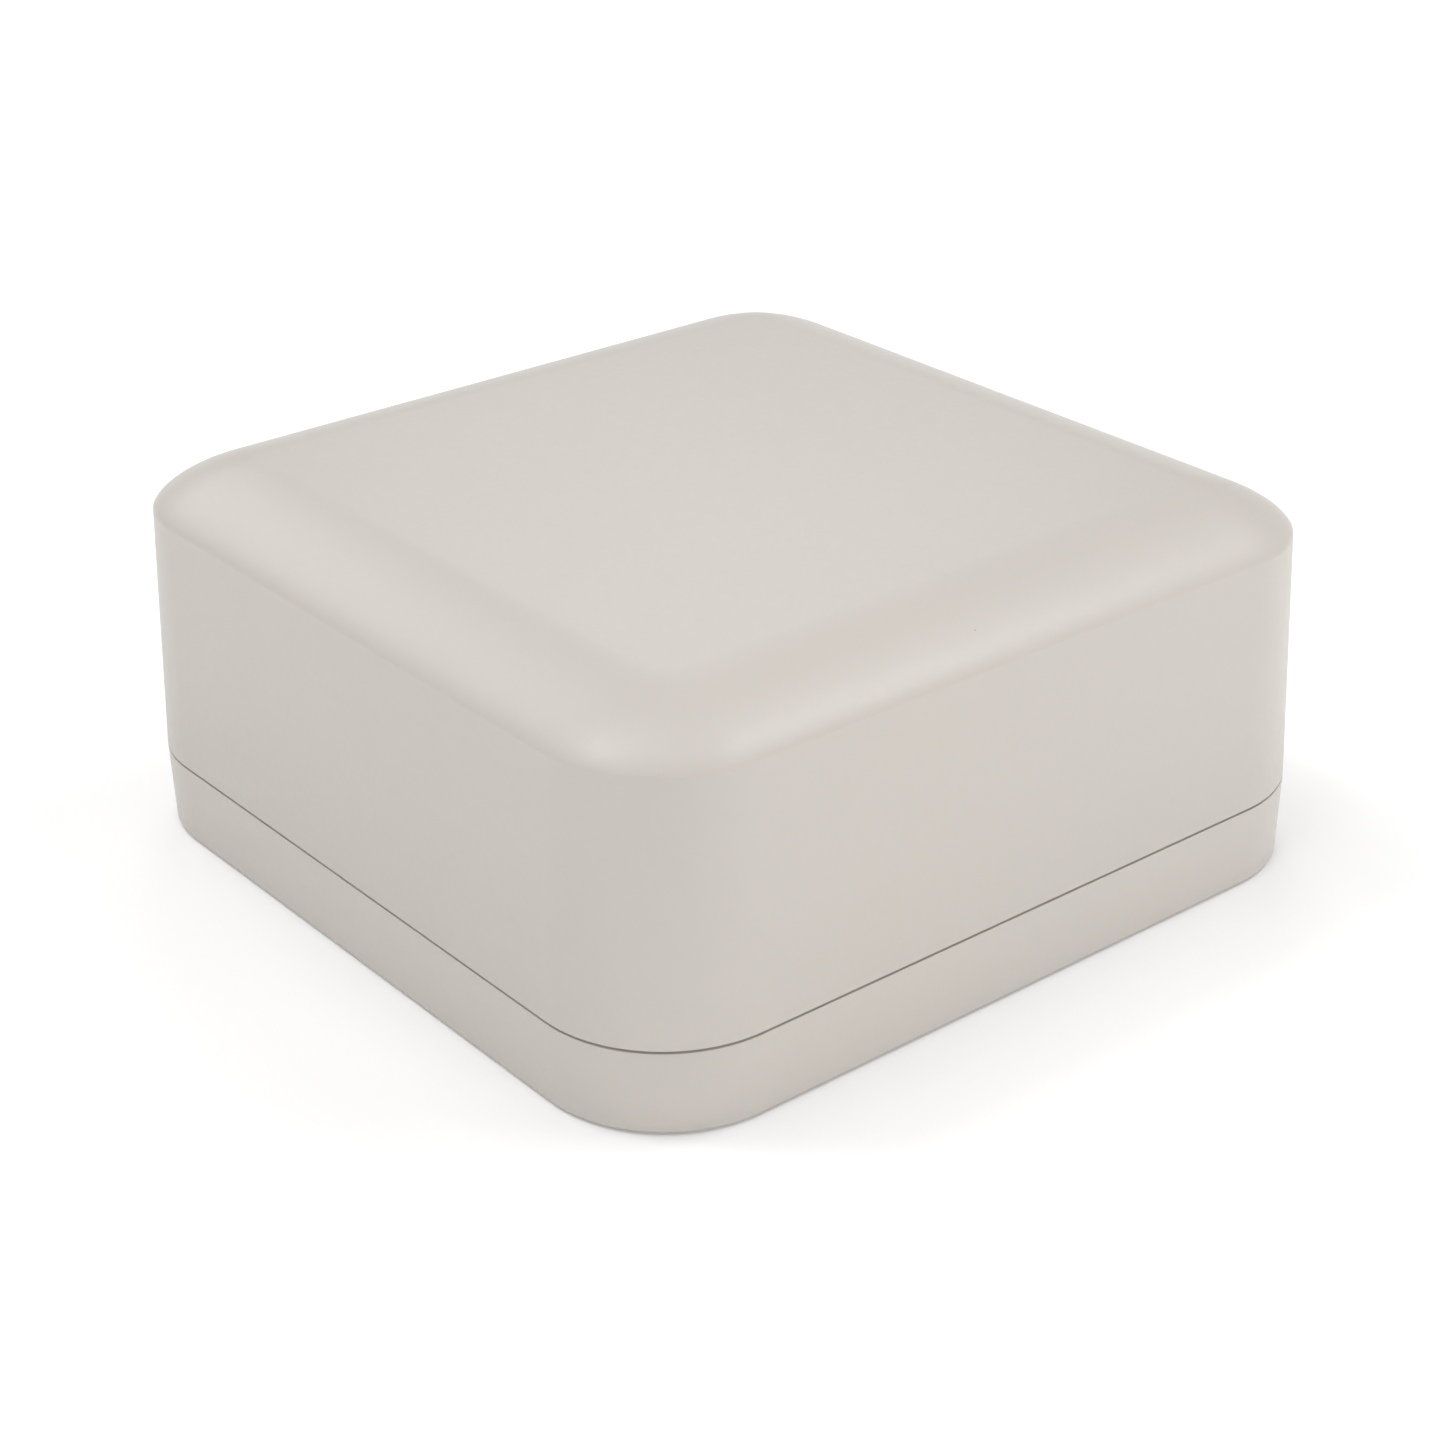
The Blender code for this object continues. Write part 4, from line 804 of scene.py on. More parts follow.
def make_board():
    """The main board, and the tinned lands round its holes."""
    bm = bmesh.new()
    prism(bm, board_outline(), BOARD_LOW.z, BOARD_HIGH.z)
    places = [((sx * POST_X, sy * POST_Y, 0), POST_HOLE) for sx, sy in CORNERS]
    places += [(plan_middle(f"heat_sink_pin_{number}"), PIN_HOLE) for number in (1, 2)]
    holes = bmesh.new()
    for place, radius in places:
        disc(holes, radius, BOARD_LOW.z - MM, BOARD_HIGH.z + MM, place)
    piece("board_laminate", drilled(bm, holes, bevel=0.06 * MM), "circuit_board", "main_board")

    bm = bmesh.new()
    for place, radius in places:
        inner = radius + 0.1 * MM
        outer = radius + 1.6 * MM
        low = BOARD_HIGH.z - 0.1 * MM
        high = BOARD_HIGH.z + PAD_FLOAT
        turned(bm, ((inner, low), (outer, low), (outer, high), (inner, high)), place, closed=True)
    piece("board_lands", bm, "tinned_steel")


def small_places():
    """Free places on a grid for the small parts, with a number from 0 to 1 for each."""
    taken = taken_places()
    seed = 11
    for row in range(-SMALL_ROWS, SMALL_ROWS + 1):
        for column in range(-SMALL_ROWS, SMALL_ROWS + 1):
            seed = (seed * 1103515245 + 12345) % 2147483648
            draw = seed / 2147483648
            x = column * SMALL_PITCH
            y = row * SMALL_PITCH
            on_board = abs(x) + abs(y) <= SMALL_DIAGONAL and max(abs(x), abs(y)) <= SMALL_REACH
            clear = SMALL_CLEARANCE
            free = not any(low.x - clear < x < high.x + clear and low.y - clear < y < high.y + clear
                           for low, high in taken)
            if draw <= 0.30 and on_board and free:
                yield x, y, draw


def make_small_parts():
    """Chip resistors and capacitors with their solder ends, wherever nothing else stands."""
    long, short = SMALL_HALF
    base_z = BOARD_HIGH.z + 0.01 * MM
    capacitors = bmesh.new()
    resistors = bmesh.new()
    ends = bmesh.new()
    for x, y, draw in small_places():
        flat = draw < 0.2
        tall = (0.35 if flat else 0.70) * MM
        grow = 0.02 * MM
        along_x = draw < 0.14
        dx, dy = (long * 0.62, short) if along_x else (short, long * 0.62)
        box(resistors if flat else capacitors, (x - dx, y - dy, base_z), (x + dx, y + dy, base_z + tall),
            bevel=0.05 * MM, segments=1)
        for side in (-1, 1):
            cx = x + side * 0.81 * long if along_x else x
            cy = y if along_x else y + side * 0.81 * long
            ex, ey = (0.19 * long, short) if along_x else (short, 0.19 * long)
            box(ends, (cx - ex, cy - ey - grow, base_z), (cx + ex, cy + ey + grow, base_z + tall + grow),
                bevel=0.05 * MM, segments=1)
    piece("board_capacitors", capacitors, "ferrite")
    piece("board_resistors", resistors, "chip")
    piece("board_solder_ends", ends, "tinned_steel")


LEAD_PITCH = 0.8 * MM
LEAD_PATH = ((-0.05, 0.6), (0.25, 0.6), (0.35, 0.02), (0.75, 0.02))     # out and up, mm
LEADLESS = ("processor_chip", "radio_chip_1", "radio_chip_2")
LEADED = ("memory_chip_1", "memory_chip_2", "flash_chip", "poe_controller")


def gull_wing_leads(bm, node):
    """Leads at two sides of a chip: the flash chip's at front and back, the others' left and right."""
    low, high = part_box(node)
    x, y, _ = plan_middle(node)
    fore_and_aft = node == "flash_chip"
    count = int((high.x - low.x if fore_and_aft else high.y - low.y) / LEAD_PITCH) - 1
    for k in range(count):
        offset = (k - (count - 1) / 2) * LEAD_PITCH
        for side, edge in ((-1, low), (1, high)):
            points = []
            for out, up in LEAD_PATH:
                z = BOARD_HIGH.z + 0.12 * MM + up * MM
                if fore_and_aft:
                    points.append((x + offset, edge.y + side * out * MM, z))
                else:
                    points.append((edge.x + side * out * MM, y + offset, z))
            tube(bm, points, 0.12 * MM, steps=6)


def make_chips():
    """The chips on the board, with a dimple at pin 1, and their leads."""
    leads = bmesh.new()
    for node in LEADLESS + LEADED:
        low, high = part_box(node)
        bm = bmesh.new()
        box(bm, low, high, bevel=0.14 * MM)
        dimple = bmesh.new()
        turned(dimple, ((0, high.z - 0.08 * MM), (0.35 * MM, high.z - 0.08 * MM), (0.42 * MM, high.z + 0.2 * MM),
                        (0, high.z + 0.2 * MM)), (low.x + 1.3 * MM, high.y - 1.3 * MM, 0), steps=20)
        piece(f"{node}_package", drilled(bm, dimple), "chip", node)
        if node in LEADED:
            gull_wing_leads(leads, node)
    piece("chip_leads", leads, "tinned_steel")


SHIELD_SHEET = 0.4 * MM
VENT_PITCH = 3.0 * MM
VENT_RADIUS = 0.5 * MM


def make_shields():
    """A drawn can with vent holes over each radio chip."""
    for node in ("radio_shield_1", "radio_shield_2"):
        low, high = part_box(node)
        x, y, _ = plan_middle(node)
        bm = bmesh.new()
        box(bm, low, high, bevel=0.35 * MM, segments=3)
        hollow = bmesh.new()
        box(hollow, (low.x + SHIELD_SHEET, low.y + SHIELD_SHEET, low.z - MM),
            (high.x - SHIELD_SHEET, high.y - SHIELD_SHEET, high.z - SHIELD_SHEET))
        vents = bmesh.new()
        for column in (-1, 0, 1):
            for row in range(-3, 4):
                disc(vents, VENT_RADIUS, high.z - MM, high.z + MM,
                     (x + column * VENT_PITCH, y + row * VENT_PITCH, 0), steps=16)
        bm = carve(bm, [(hollow, "DIFFERENCE"), (vents, "DIFFERENCE")])
        piece(f"{node}_can", bm, "tinned_steel", node)


# ---------------------------------------------------------------- cooling

FIN_COUNT = 8
FIN_MARGIN = 7.0 * MM       # from the heat sink's side to the first fin
FIN_HALF = 0.7 * MM
FIN_ROOT = 0.5 * MM         # radius at the foot of a fin
SINK_PLATE = 2.5 * MM
COIL_TURNS = 4
COIL_STEPS = 28
COIL_RADIUS = 1.9 * MM
COIL_WIRE = 0.2 * MM


def sink_outline(low, high):
    """The heat sink's section, as (x, z) pairs: a plate with round-rooted, round-topped fins."""
    plate_z = low.z + SINK_PLATE
    first = low.x + FIN_MARGIN
    last = high.x - FIN_MARGIN
    tip = FIN_HALF * 0.8
    foot = FIN_HALF + FIN_ROOT
    outline = [(low.x, low.z), (high.x, low.z), (high.x, plate_z)]
    for index in reversed(range(FIN_COUNT)):
        middle = first + FIN_HALF + (last - first - 2 * FIN_HALF) * index / (FIN_COUNT - 1)
        outline.append((middle + foot, plate_z))
        outline += [(middle + FIN_HALF + FIN_ROOT * (1 - math.sin(a)), plate_z + FIN_ROOT * (1 - math.cos(a)))
                    for a in sweep(1, 4, 4)]
        outline += [(middle + tip * math.cos(a), high.z - tip * (1 - math.sin(a))) for a in sweep(0, 8, 4)]
        outline += [(middle - FIN_HALF - FIN_ROOT * (1 - math.sin(a)), plate_z + FIN_ROOT * (1 - math.cos(a)))
                    for a in sweep(4, 1, 4)]
        outline.append((middle - foot, plate_z))
    outline.append((low.x, plate_z))
    return outline


def push_pin_profile(low, high):
    """A push pin, as (radius, z) pairs: barbed foot, shank and domed head."""
    head = high.z - 1.4 * MM
    rim = head + 0.6 * MM
    reach = (high.x - low.x) / 2
    shank = 1.1 * MM
    profile = [(0, low.z), (shank * 0.55, low.z), (shank, low.z + 0.9 * MM), (shank, low.z + 1.1 * MM),
               (shank * 0.82, low.z + 1.3 * MM), (shank * 0.82, head - 0.3 * MM), (shank, head),
               (reach - 0.1 * MM, head), (reach, head + 0.1 * MM), (reach, rim)]
    profile += [(reach * math.cos(a), rim + 0.8 * MM * math.sin(a)) for a in sweep(1, 5, 6)]
    profile.append((0, high.z))
    return profile


def coil(x, y, low, high):
    """Points along a coil spring with a flat turn at each end."""
    points = []
    for i in range(COIL_TURNS * COIL_STEPS + 1):
        turn = i / COIL_STEPS
        lift = min(1.0, max(0.0, (turn - 0.5) / (COIL_TURNS - 1.0)))
        angle = 2 * math.pi * turn
        points.append((x + COIL_RADIUS * math.cos(angle), y + COIL_RADIUS * math.sin(angle),
                       low + COIL_WIRE + (high - low - 2 * COIL_WIRE) * lift))
    return points


def make_cooling():
    """Thermal pad, extruded heat sink, push pins and their springs."""
    bm = bmesh.new()
    box(bm, *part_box("thermal_pad"), bevel=0.3 * MM, segments=3)
    piece("thermal_pad_sheet", bm, "thermal_pad", "thermal_pad")

    low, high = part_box("heat_sink")
    bm = bmesh.new()
    skin(bm, [[(x, y, z) for x, z in sink_outline(low, high)] for y in (low.y, high.y)])
    holes = bmesh.new()
    for number in (1, 2):
        disc(holes, PIN_HOLE, low.z - MM, low.z + SINK_PLATE + MM, plan_middle(f"heat_sink_pin_{number}"))
    bm = drilled(bm, holes, bevel=0.12 * MM, bevel_angle=60)
    piece("heat_sink_extrusion", bm, "aluminium", "heat_sink")

    for number in (1, 2):
        pin = f"heat_sink_pin_{number}"
        place = plan_middle(pin)
        bm = bmesh.new()
        turned(bm, push_pin_profile(*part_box(pin)), place)
        piece(f"push_pin_{number}", bm, "white_plastic", pin)
        low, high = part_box(f"heat_sink_spring_{number}")
        bm = bmesh.new()
        tube(bm, coil(place[0], place[1], low.z, high.z), COIL_WIRE)
        piece(f"spring_{number}", bm, "screw_steel", f"heat_sink_spring_{number}")


# ---------------------------------------------------------------- power supply

CORE_SETBACK = 2.2 * MM     # the core is this far inside the bobbin's ends
CORE_LIMB = 2.4 * MM
BOBBIN_PINS = 5
BOBBIN_PITCH = 2.5 * MM
MAGNETICS_PINS = 8
MAGNETICS_PITCH = 1.27 * MM
INDUCTOR_CUT = 1.4 * MM
CAPACITOR_NECK = 1.6 * MM
SCORE_TURN = 0.3            # how the cross on a capacitor's top is turned


def make_poe_transformer():
    """A ferrite core in two halves, with its taped winding and its bobbin."""
    low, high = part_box("poe_transformer")
    tall = high.z - low.z
    bm = bmesh.new()
    front = low.y + CORE_SETBACK
    back = high.y - CORE_SETBACK
    box(bm, (low.x, front, low.z + 0.8 * MM), (high.x, back, low.z + tall * 0.30), 0.3 * MM)
    box(bm, (low.x, front, high.z - tall * 0.26), (high.x, back, high.z), 0.3 * MM)
    for x0, x1 in ((low.x, low.x + CORE_LIMB), (high.x - CORE_LIMB, high.x)):
        box(bm, (x0 + 0.01 * MM, front + 0.05 * MM, low.z + MM), (x1, back - 0.05 * MM, high.z - 0.5 * MM), 0.3 * MM)
    piece("poe_transformer_core", bm, "ferrite", "poe_transformer")

    bm = bmesh.new()
    box(bm, (low.x + 2.8 * MM, low.y + 1.1 * MM, low.z + tall * 0.28),
        (high.x - 2.8 * MM, high.y - 1.1 * MM, high.z - tall * 0.24), 1.0 * MM, 4)
    piece("poe_transformer_tape", bm, "thermal_pad")

    bm = bmesh.new()
    for y0, y1 in ((low.y, low.y + CORE_LIMB), (high.y - CORE_LIMB, high.y)):
        box(bm, (low.x + 0.3 * MM, y0, low.z + 0.5 * MM), (high.x - 0.3 * MM, y1, low.z + tall * 0.30), 0.25 * MM)
        box(bm, (low.x + 1.6 * MM, y0 + 0.4 * MM, high.z - tall * 0.25),
            (high.x - 1.6 * MM, y1 - 0.4 * MM, high.z - tall * 0.12), 0.2 * MM)
    piece("poe_transformer_bobbin", bm, "black_plastic")


def make_magnetics():
    """The network transformer's case, and the pins of both transformers with their solder."""
    pins = bmesh.new()
    low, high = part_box("poe_transformer")
    middle_x, middle_y, _ = plan_middle("poe_transformer")
    land = BOARD_HIGH.z
    for side in (-1, 1):
        y = middle_y + side * ((high.y - low.y) / 2 - 0.6 * MM)
        for k in range(BOBBIN_PINS):
            x = middle_x + (k - (BOBBIN_PINS - 1) / 2) * BOBBIN_PITCH
            tube(pins, [(x, y, land + 0.05 * MM), (x, y, low.z + MM)], 0.3 * MM)
            turned(pins, ((0.75 * MM, land), (0.5 * MM, land + 0.25 * MM), (0.3 * MM, land + 0.45 * MM)),
                   (x, y, 0), steps=16)

    low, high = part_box("lan_transformer")
    middle_x = plan_middle("lan_transformer")[0]
    case = bmesh.new()
    box(case, low, high, bevel=0.3 * MM)
    piece("lan_transformer_case", case, "chip", "lan_transformer")
    for k in range(MAGNETICS_PINS):
        x = middle_x + (k - (MAGNETICS_PINS - 1) / 2) * MAGNETICS_PITCH
        for side, edge in ((-1, low.y), (1, high.y)):
            path = ((-0.05 * MM, low.z + 1.2 * MM), (0.35 * MM, low.z + 1.2 * MM), (0.45 * MM, land + 0.16 * MM),
                    (1.0 * MM, land + 0.16 * MM))
            tube(pins, [(x, edge + side * out, z) for out, z in path], 0.15 * MM, 8)
    piece("magnetics_pins", pins, "tinned_steel")


def make_inductor():
    """An eight-sided moulded choke with the end of its drum on top."""
    low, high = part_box("power_inductor")
    x, y, _ = plan_middle("power_inductor")
    half = (high.x - low.x) / 2
    near = half - INDUCTOR_CUT
    octagon = [(half, near), (near, half), (-near, half), (-half, near),
               (-half, -near), (-near, -half), (near, -half), (half, -near)]
    shrunk = [(u * 0.95, v * 0.95) for u, v in octagon]
    rings = ((shrunk, low.z), (octagon, low.z + 0.2 * MM), (octagon, high.z - 0.25 * MM), (shrunk, high.z))
    bm = bmesh.new()
    skin(bm, [[(x + u, y + v, z) for u, v in ring] for ring, z in rings])
    piece("power_inductor_core", bm, "ferrite", "power_inductor")
    bm = bmesh.new()
    disc(bm, 2.4 * MM, high.z - 0.01 * MM, high.z + 0.04 * MM, (x, y, 0))
    piece("power_inductor_drum", bm, "ferrite")


def score(centre, turn, half_length, low, high):
    """A long thin tool that cuts one line into the top of a can."""
    across = Vector((math.cos(turn), math.sin(turn), 0)) * half_length
    wide = Vector((-math.sin(turn), math.cos(turn), 0)) * 0.12 * MM
    ring = [centre + a + b for a, b in ((across, wide), (-across, wide), (-across, -wide), (across, -wide))]
    bm = bmesh.new()
    prism(bm, [(p.x, p.y) for p in ring], low, high)
    return bm


def make_capacitors():
    """Three cans in shrunk sleeves, with a neck above the seal and a scored top."""
    for number in (1, 2, 3):
        node = f"capacitor_{number}"
        low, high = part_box(node)
        place = plan_middle(node)
        radius = (high.x - low.x) / 2
        neck = low.z + CAPACITOR_NECK
        shoulder = 0.5 * MM
        sleeve = [(radius - 0.3 * MM, low.z), (radius, low.z + 0.3 * MM), (radius, neck - 0.3 * MM),
                  (radius - 0.25 * MM, neck), (radius, neck + 0.3 * MM), (radius, high.z - shoulder)]
        sleeve += [(radius - shoulder * (1 - math.cos(a)), high.z - shoulder + shoulder * math.sin(a))
                   for a in sweep(1, 4, 4)]
        sleeve += [(radius - 1.0 * MM, high.z), (radius - 1.05 * MM, high.z - 0.12 * MM)]
        bm = bmesh.new()
        turned(bm, sleeve, place)
        piece(f"{node}_sleeve", bm, "capacitor_sleeve", node)
        bm = bmesh.new()
        disc(bm, radius - 1.02 * MM, high.z - 0.6 * MM, high.z - 0.06 * MM, place)
        cross = [(score(Vector(place), turn, radius - 1.3 * MM, high.z - 0.16 * MM, high.z + 0.1 * MM), "DIFFERENCE")
                 for turn in (SCORE_TURN, SCORE_TURN + math.pi / 2)]
        piece(f"{node}_can", carve(bm, cross), "aluminium")


# ---------------------------------------------------------------- jacks and reset

LINER = 0.35 * MM
CONTACTS = 8
CONTACT_PITCH = 1.02 * MM
CONTACT_PATH = ((1.2, 0.25), (2.0, 0.4), (6.0, 1.6), (10.5, 3.0), (11.0, 3.4))      # in and down, mm
POWER_PIN = 1.05 * MM
POWER_PIN_START = 1.4 * MM
FLANGE_RADIUS = 2.2 * MM


def make_ethernet_jack():
    """The shielded Ethernet jack with its liner and contacts."""
    low, high = JACK_LOW, JACK_HIGH
    left = SOCKET_X - SOCKET_HALF
    right = SOCKET_X + SOCKET_HALF
    bm = bmesh.new()
    box(bm, low, high, bevel=0.35 * MM, segments=3)
    socket = bmesh.new()
    box(socket, (left, low.y - MM, SOCKET_LOW_Z), (right, low.y + SOCKET_DEPTH, SOCKET_HIGH_Z))
    piece("ethernet_jack_shell", drilled(bm, socket), "tinned_steel", "ethernet_jack")

    # The liner's four walls, each a hair inside the last so that no faces coincide
    bm = bmesh.new()
    front = low.y + 0.5 * MM
    back = low.y + SOCKET_DEPTH - 0.05 * MM
    left += 0.02 * MM
    right -= 0.02 * MM
    bottom = SOCKET_LOW_Z + 0.03 * MM
    top = SOCKET_HIGH_Z - 0.03 * MM
    box(bm, (left, front, SOCKET_LOW_Z + 0.02 * MM), (right, back, SOCKET_LOW_Z + LINER), 0.08 * MM)
    box(bm, (left, front, bottom), (left + LINER, back, top), 0.08 * MM)
    box(bm, (right - LINER, front, bottom), (right, back, top), 0.08 * MM)
    box(bm, (left, back - 0.6 * MM, SOCKET_LOW_Z + 0.04 * MM), (right, back - 0.02 * MM, SOCKET_HIGH_Z - 0.04 * MM))
    piece("ethernet_jack_liner", bm, "black_plastic")

    bm = bmesh.new()
    for k in range(CONTACTS):
        x = SOCKET_X + (k - (CONTACTS - 1) / 2) * CONTACT_PITCH
        tube(bm, [(x, low.y + deep * MM, SOCKET_HIGH_Z - down * MM) for deep, down in CONTACT_PATH], 0.2 * MM, 8)
    piece("ethernet_contacts", bm, "brass")


def make_power_jack():
    """The power jack with its centre pin and its side spring."""
    low, high = POWER_LOW, POWER_HIGH
    centre = (POWER_X, 0, POWER_Z)
    bm = bmesh.new()
    box(bm, low, high, bevel=0.4 * MM, segments=3)
    bore = bmesh.new()
    disc(bore, POWER_BORE, low.y - MM, low.y + POWER_DEPTH, centre, "Y")
    piece("power_jack_body", drilled(bm, bore), "black_plastic", "power_jack")

    start = low.y + POWER_PIN_START
    profile = [(POWER_PIN, low.y + POWER_DEPTH + FIT), (POWER_PIN, start)]
    profile += [(POWER_PIN * math.cos(a), start - POWER_PIN * math.sin(a)) for a in sweep(1, 5, 6)]
    profile.append((0, start - POWER_PIN))
    bm = bmesh.new()
    turned(bm, profile, centre, "Y", steps=24)
    floor = POWER_Z - POWER_BORE
    tube(bm, [(POWER_X, low.y + deep * MM, floor + up * MM) for deep, up in ((0.8, 0.25), (3.0, 0.8), (8.5, 0.2))],
         0.25 * MM, 8)
    piece("power_jack_pin", bm, "tinned_steel")


def make_reset():
    """The reset button and the switch behind it."""
    centre = (BUTTON_X, 0, BUTTON_Z)
    tip = BUTTON_LOW.y
    end = BUTTON_HIGH.y
    flange = end - 1.0 * MM
    bm = bmesh.new()
    turned(bm, ((0, tip + 0.25 * MM), (BUTTON_RADIUS * 0.5, tip + 0.05 * MM), (BUTTON_RADIUS - SOFT, tip),
                (BUTTON_RADIUS, tip + SOFT), (BUTTON_RADIUS, flange), (FLANGE_RADIUS, flange), (FLANGE_RADIUS, end),
                (0, end)), centre, "Y")
    piece("reset_button_cap", bm, "white_plastic", "reset_button", body="button")

    low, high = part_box("reset_switch")
    face = low.y + 0.5 * MM
    bm = bmesh.new()
    box(bm, (low.x, face + 0.3 * MM, low.z), high, bevel=0.2 * MM)
    piece("reset_switch_body", bm, "black_plastic", "reset_switch")
    bm = bmesh.new()
    box(bm, (low.x + 0.1 * MM, face, low.z + 0.3 * MM), (high.x - 0.1 * MM, face + 0.35 * MM, high.z - 0.3 * MM),
        bevel=0.1 * MM, segments=1)
    piece("reset_switch_plate", bm, "tinned_steel")
    bm = bmesh.new()
    turned(bm, ((0, low.y), (0.75 * MM, low.y), (0.9 * MM, low.y + 0.15 * MM), (0.9 * MM, face + 0.1 * MM),
                (0, face + 0.1 * MM)), centre, "Y", steps=28)
    piece("reset_switch_stub", bm, "white_plastic")


# ---------------------------------------------------------------- status light

def make_status_light():
    """The status light on the board, and the clear pipe in the cover's socket."""
    low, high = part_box("status_led")
    place = (0, LIGHT_Y, 0)
    bm = bmesh.new()
    box(bm, low, high, bevel=0.12 * MM)
    well = bmesh.new()
    turned(well, ((0, high.z - 0.5 * MM), (0.8 * MM, high.z - 0.5 * MM), (1.1 * MM, high.z + 0.1 * MM),
                  (0, high.z + 0.1 * MM)), place, steps=32)
    piece("status_led_body", drilled(bm, well), "white_plastic", "status_led")
    bm = bmesh.new()
    turned(bm, ((0, high.z - 0.49 * MM), (0.79 * MM, high.z - 0.49 * MM), (1.0 * MM, high.z - 0.05 * MM),
                (0.5 * MM, high.z), (0, high.z + 0.02 * MM)), place, steps=32)
    piece("status_led_lens", bm, "clear_plastic")

    low, high = PIPE_LOW, PIPE_HIGH
    profile = [(0, low.z)]
    profile += [(PIPE_RADIUS * math.sin(a), low.z + 0.8 * MM * (1 - math.cos(a))) for a in sweep(1, 8, 8)]
    profile += [(PIPE_RADIUS, high.z - 0.15 * MM), (PIPE_RADIUS - 0.15 * MM, high.z), (0, high.z)]
    bm = bmesh.new()
    turned(bm, profile, place, steps=48)
    piece("light_pipe_rod", bm, "clear_plastic", "light_pipe", body="lid")


# ---------------------------------------------------------------- antennas

SLOT_HALF = 1.0 * MM
SLOT_FOOT = 0.45            # share of the antenna's height


def antenna_board(bm, edge, thick, half, height):
    """An upright board with two slots from its top."""
    foot = height * SLOT_FOOT
    arm = half / 2
    slot = SLOT_HALF
    outline = [(-half, 0), (half, 0), (half, height), (arm + slot, height), (arm + slot, foot),
               (arm - slot, foot), (arm - slot, height), (slot - arm, height),
               (slot - arm, foot), (-slot - arm, foot), (-slot - arm, height), (-half, height)]
    skin(bm, [[(x, edge + y, ON_BOARD_Z + z) for x, z in outline] for y in (-thick, thick)])
    bmesh.ops.bevel(bm, geom=bm.edges[:], offset=0.05 * MM, segments=1, affect="EDGES")


def antenna_copper(bm, edge, thick, half, height):
    """Three copper arms on both faces, joined on the outer face by a foot and a stem."""
    proud = thick + PAD_FLOAT
    inside = thick - 0.1 * MM
    outer = half - 1.0 * MM
    inner = half / 2 + 1.6 * MM
    arms = ((-outer, -inner, 3.0 * MM, height - 1.0 * MM), (inner, outer, 3.0 * MM, height - 1.0 * MM),
            (-2.6 * MM, 2.6 * MM, 6.5 * MM, height - 2.0 * MM))
    for x0, x1, z0, z1 in arms:
        for side in (-1, 1):
            near, far = sorted((edge + side * inside, edge + side * proud))
            box(bm, (x0, near, ON_BOARD_Z + z0), (x1, far, ON_BOARD_Z + z1))
    foot = half - 1.05 * MM
    box(bm, (-foot, edge + inside, ON_BOARD_Z + 1.0 * MM), (foot, edge + proud * 0.999, ON_BOARD_Z + 4.2 * MM))
    box(bm, (-1.0 * MM, edge + inside, ON_BOARD_Z + 4.1 * MM), (1.0 * MM, edge + proud * 0.998, ON_BOARD_Z + 6.6 * MM))


def make_plug(node, place):
    """A small round coaxial plug, pressed on the board."""
    low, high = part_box("antenna_plug_1")
    radius = (high.x - low.x) / 2
    foot = ON_BOARD_Z
    top = foot + (high.z - low.z)
    bm = bmesh.new()
    turned(bm, ((0, foot), (radius, foot), (radius, foot + 0.35 * MM), (radius * 0.86, foot + 0.45 * MM),
                (radius * 0.86, top - 0.15 * MM), (radius * 0.74, top), (radius * 0.55, top),
                (radius * 0.45, top - 0.12 * MM), (0, top - 0.12 * MM)), place, steps=32)
    piece(f"{node}_cap", bm, "brass", node)


def make_cable(node):
    """The CAD cable with its facets rounded off."""
    bm = bmesh.new()
    bm.from_mesh(NODES[node].data)
    bmesh.ops.remove_doubles(bm, verts=bm.verts, dist=0.001 * MM)
    smoother = piece(f"{node}_round", bm, "coax", node).modifiers.new("round", "SUBSURF")
    smoother.levels = 1
    smoother.render_levels = 1


def make_antennas():
    """Four upright antenna boards with copper arms, and their plugs and cables."""
    low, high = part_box("antenna_1")
    edge = (low.y + high.y) / 2
    sizes = ((high.y - low.y) / 2, (high.x - low.x) / 2, high.z - low.z)
    plug = plan_middle("antenna_plug_1")[0]
    for number in range(1, 5):
        turn = Matrix.Rotation((number - 1) * math.pi / 2, 4, "Z")
        for build, name, slot, nodes in ((antenna_board, "board", "antenna_board", [f"antenna_{number}"]),
                                         (antenna_copper, "copper", "brass", [])):
            bm = bmesh.new()
            build(bm, edge, *sizes)
            bmesh.ops.transform(bm, matrix=turn, verts=bm.verts)
            piece(f"antenna_{number}_{name}", bm, slot, *nodes)
        make_plug(f"antenna_plug_{number}", turn @ Vector((plug, plug, 0)))
        make_cable(f"antenna_cable_{number}")


# ---------------------------------------------------------------- stage, camera and lights

def direction(azimuth, elevation):
    """The way back to the camera or a lamp, from angles in degrees."""
    a = math.radians(azimuth)
    e = math.radians(elevation)
    return Vector((math.sin(a) * math.cos(e), -math.cos(a) * math.cos(e), math.sin(e)))


FLOOR_LEVEL = -0.02 * MM    # a hair under the model
FLOOR_HALF = 6.0
# The floor glows a little, and more beyond the lamps, so that it stays pale to the horizon.
FLOOR_FADE = (0.35, 1.30)
FLOOR_GLOW = (0.09, 0.85)


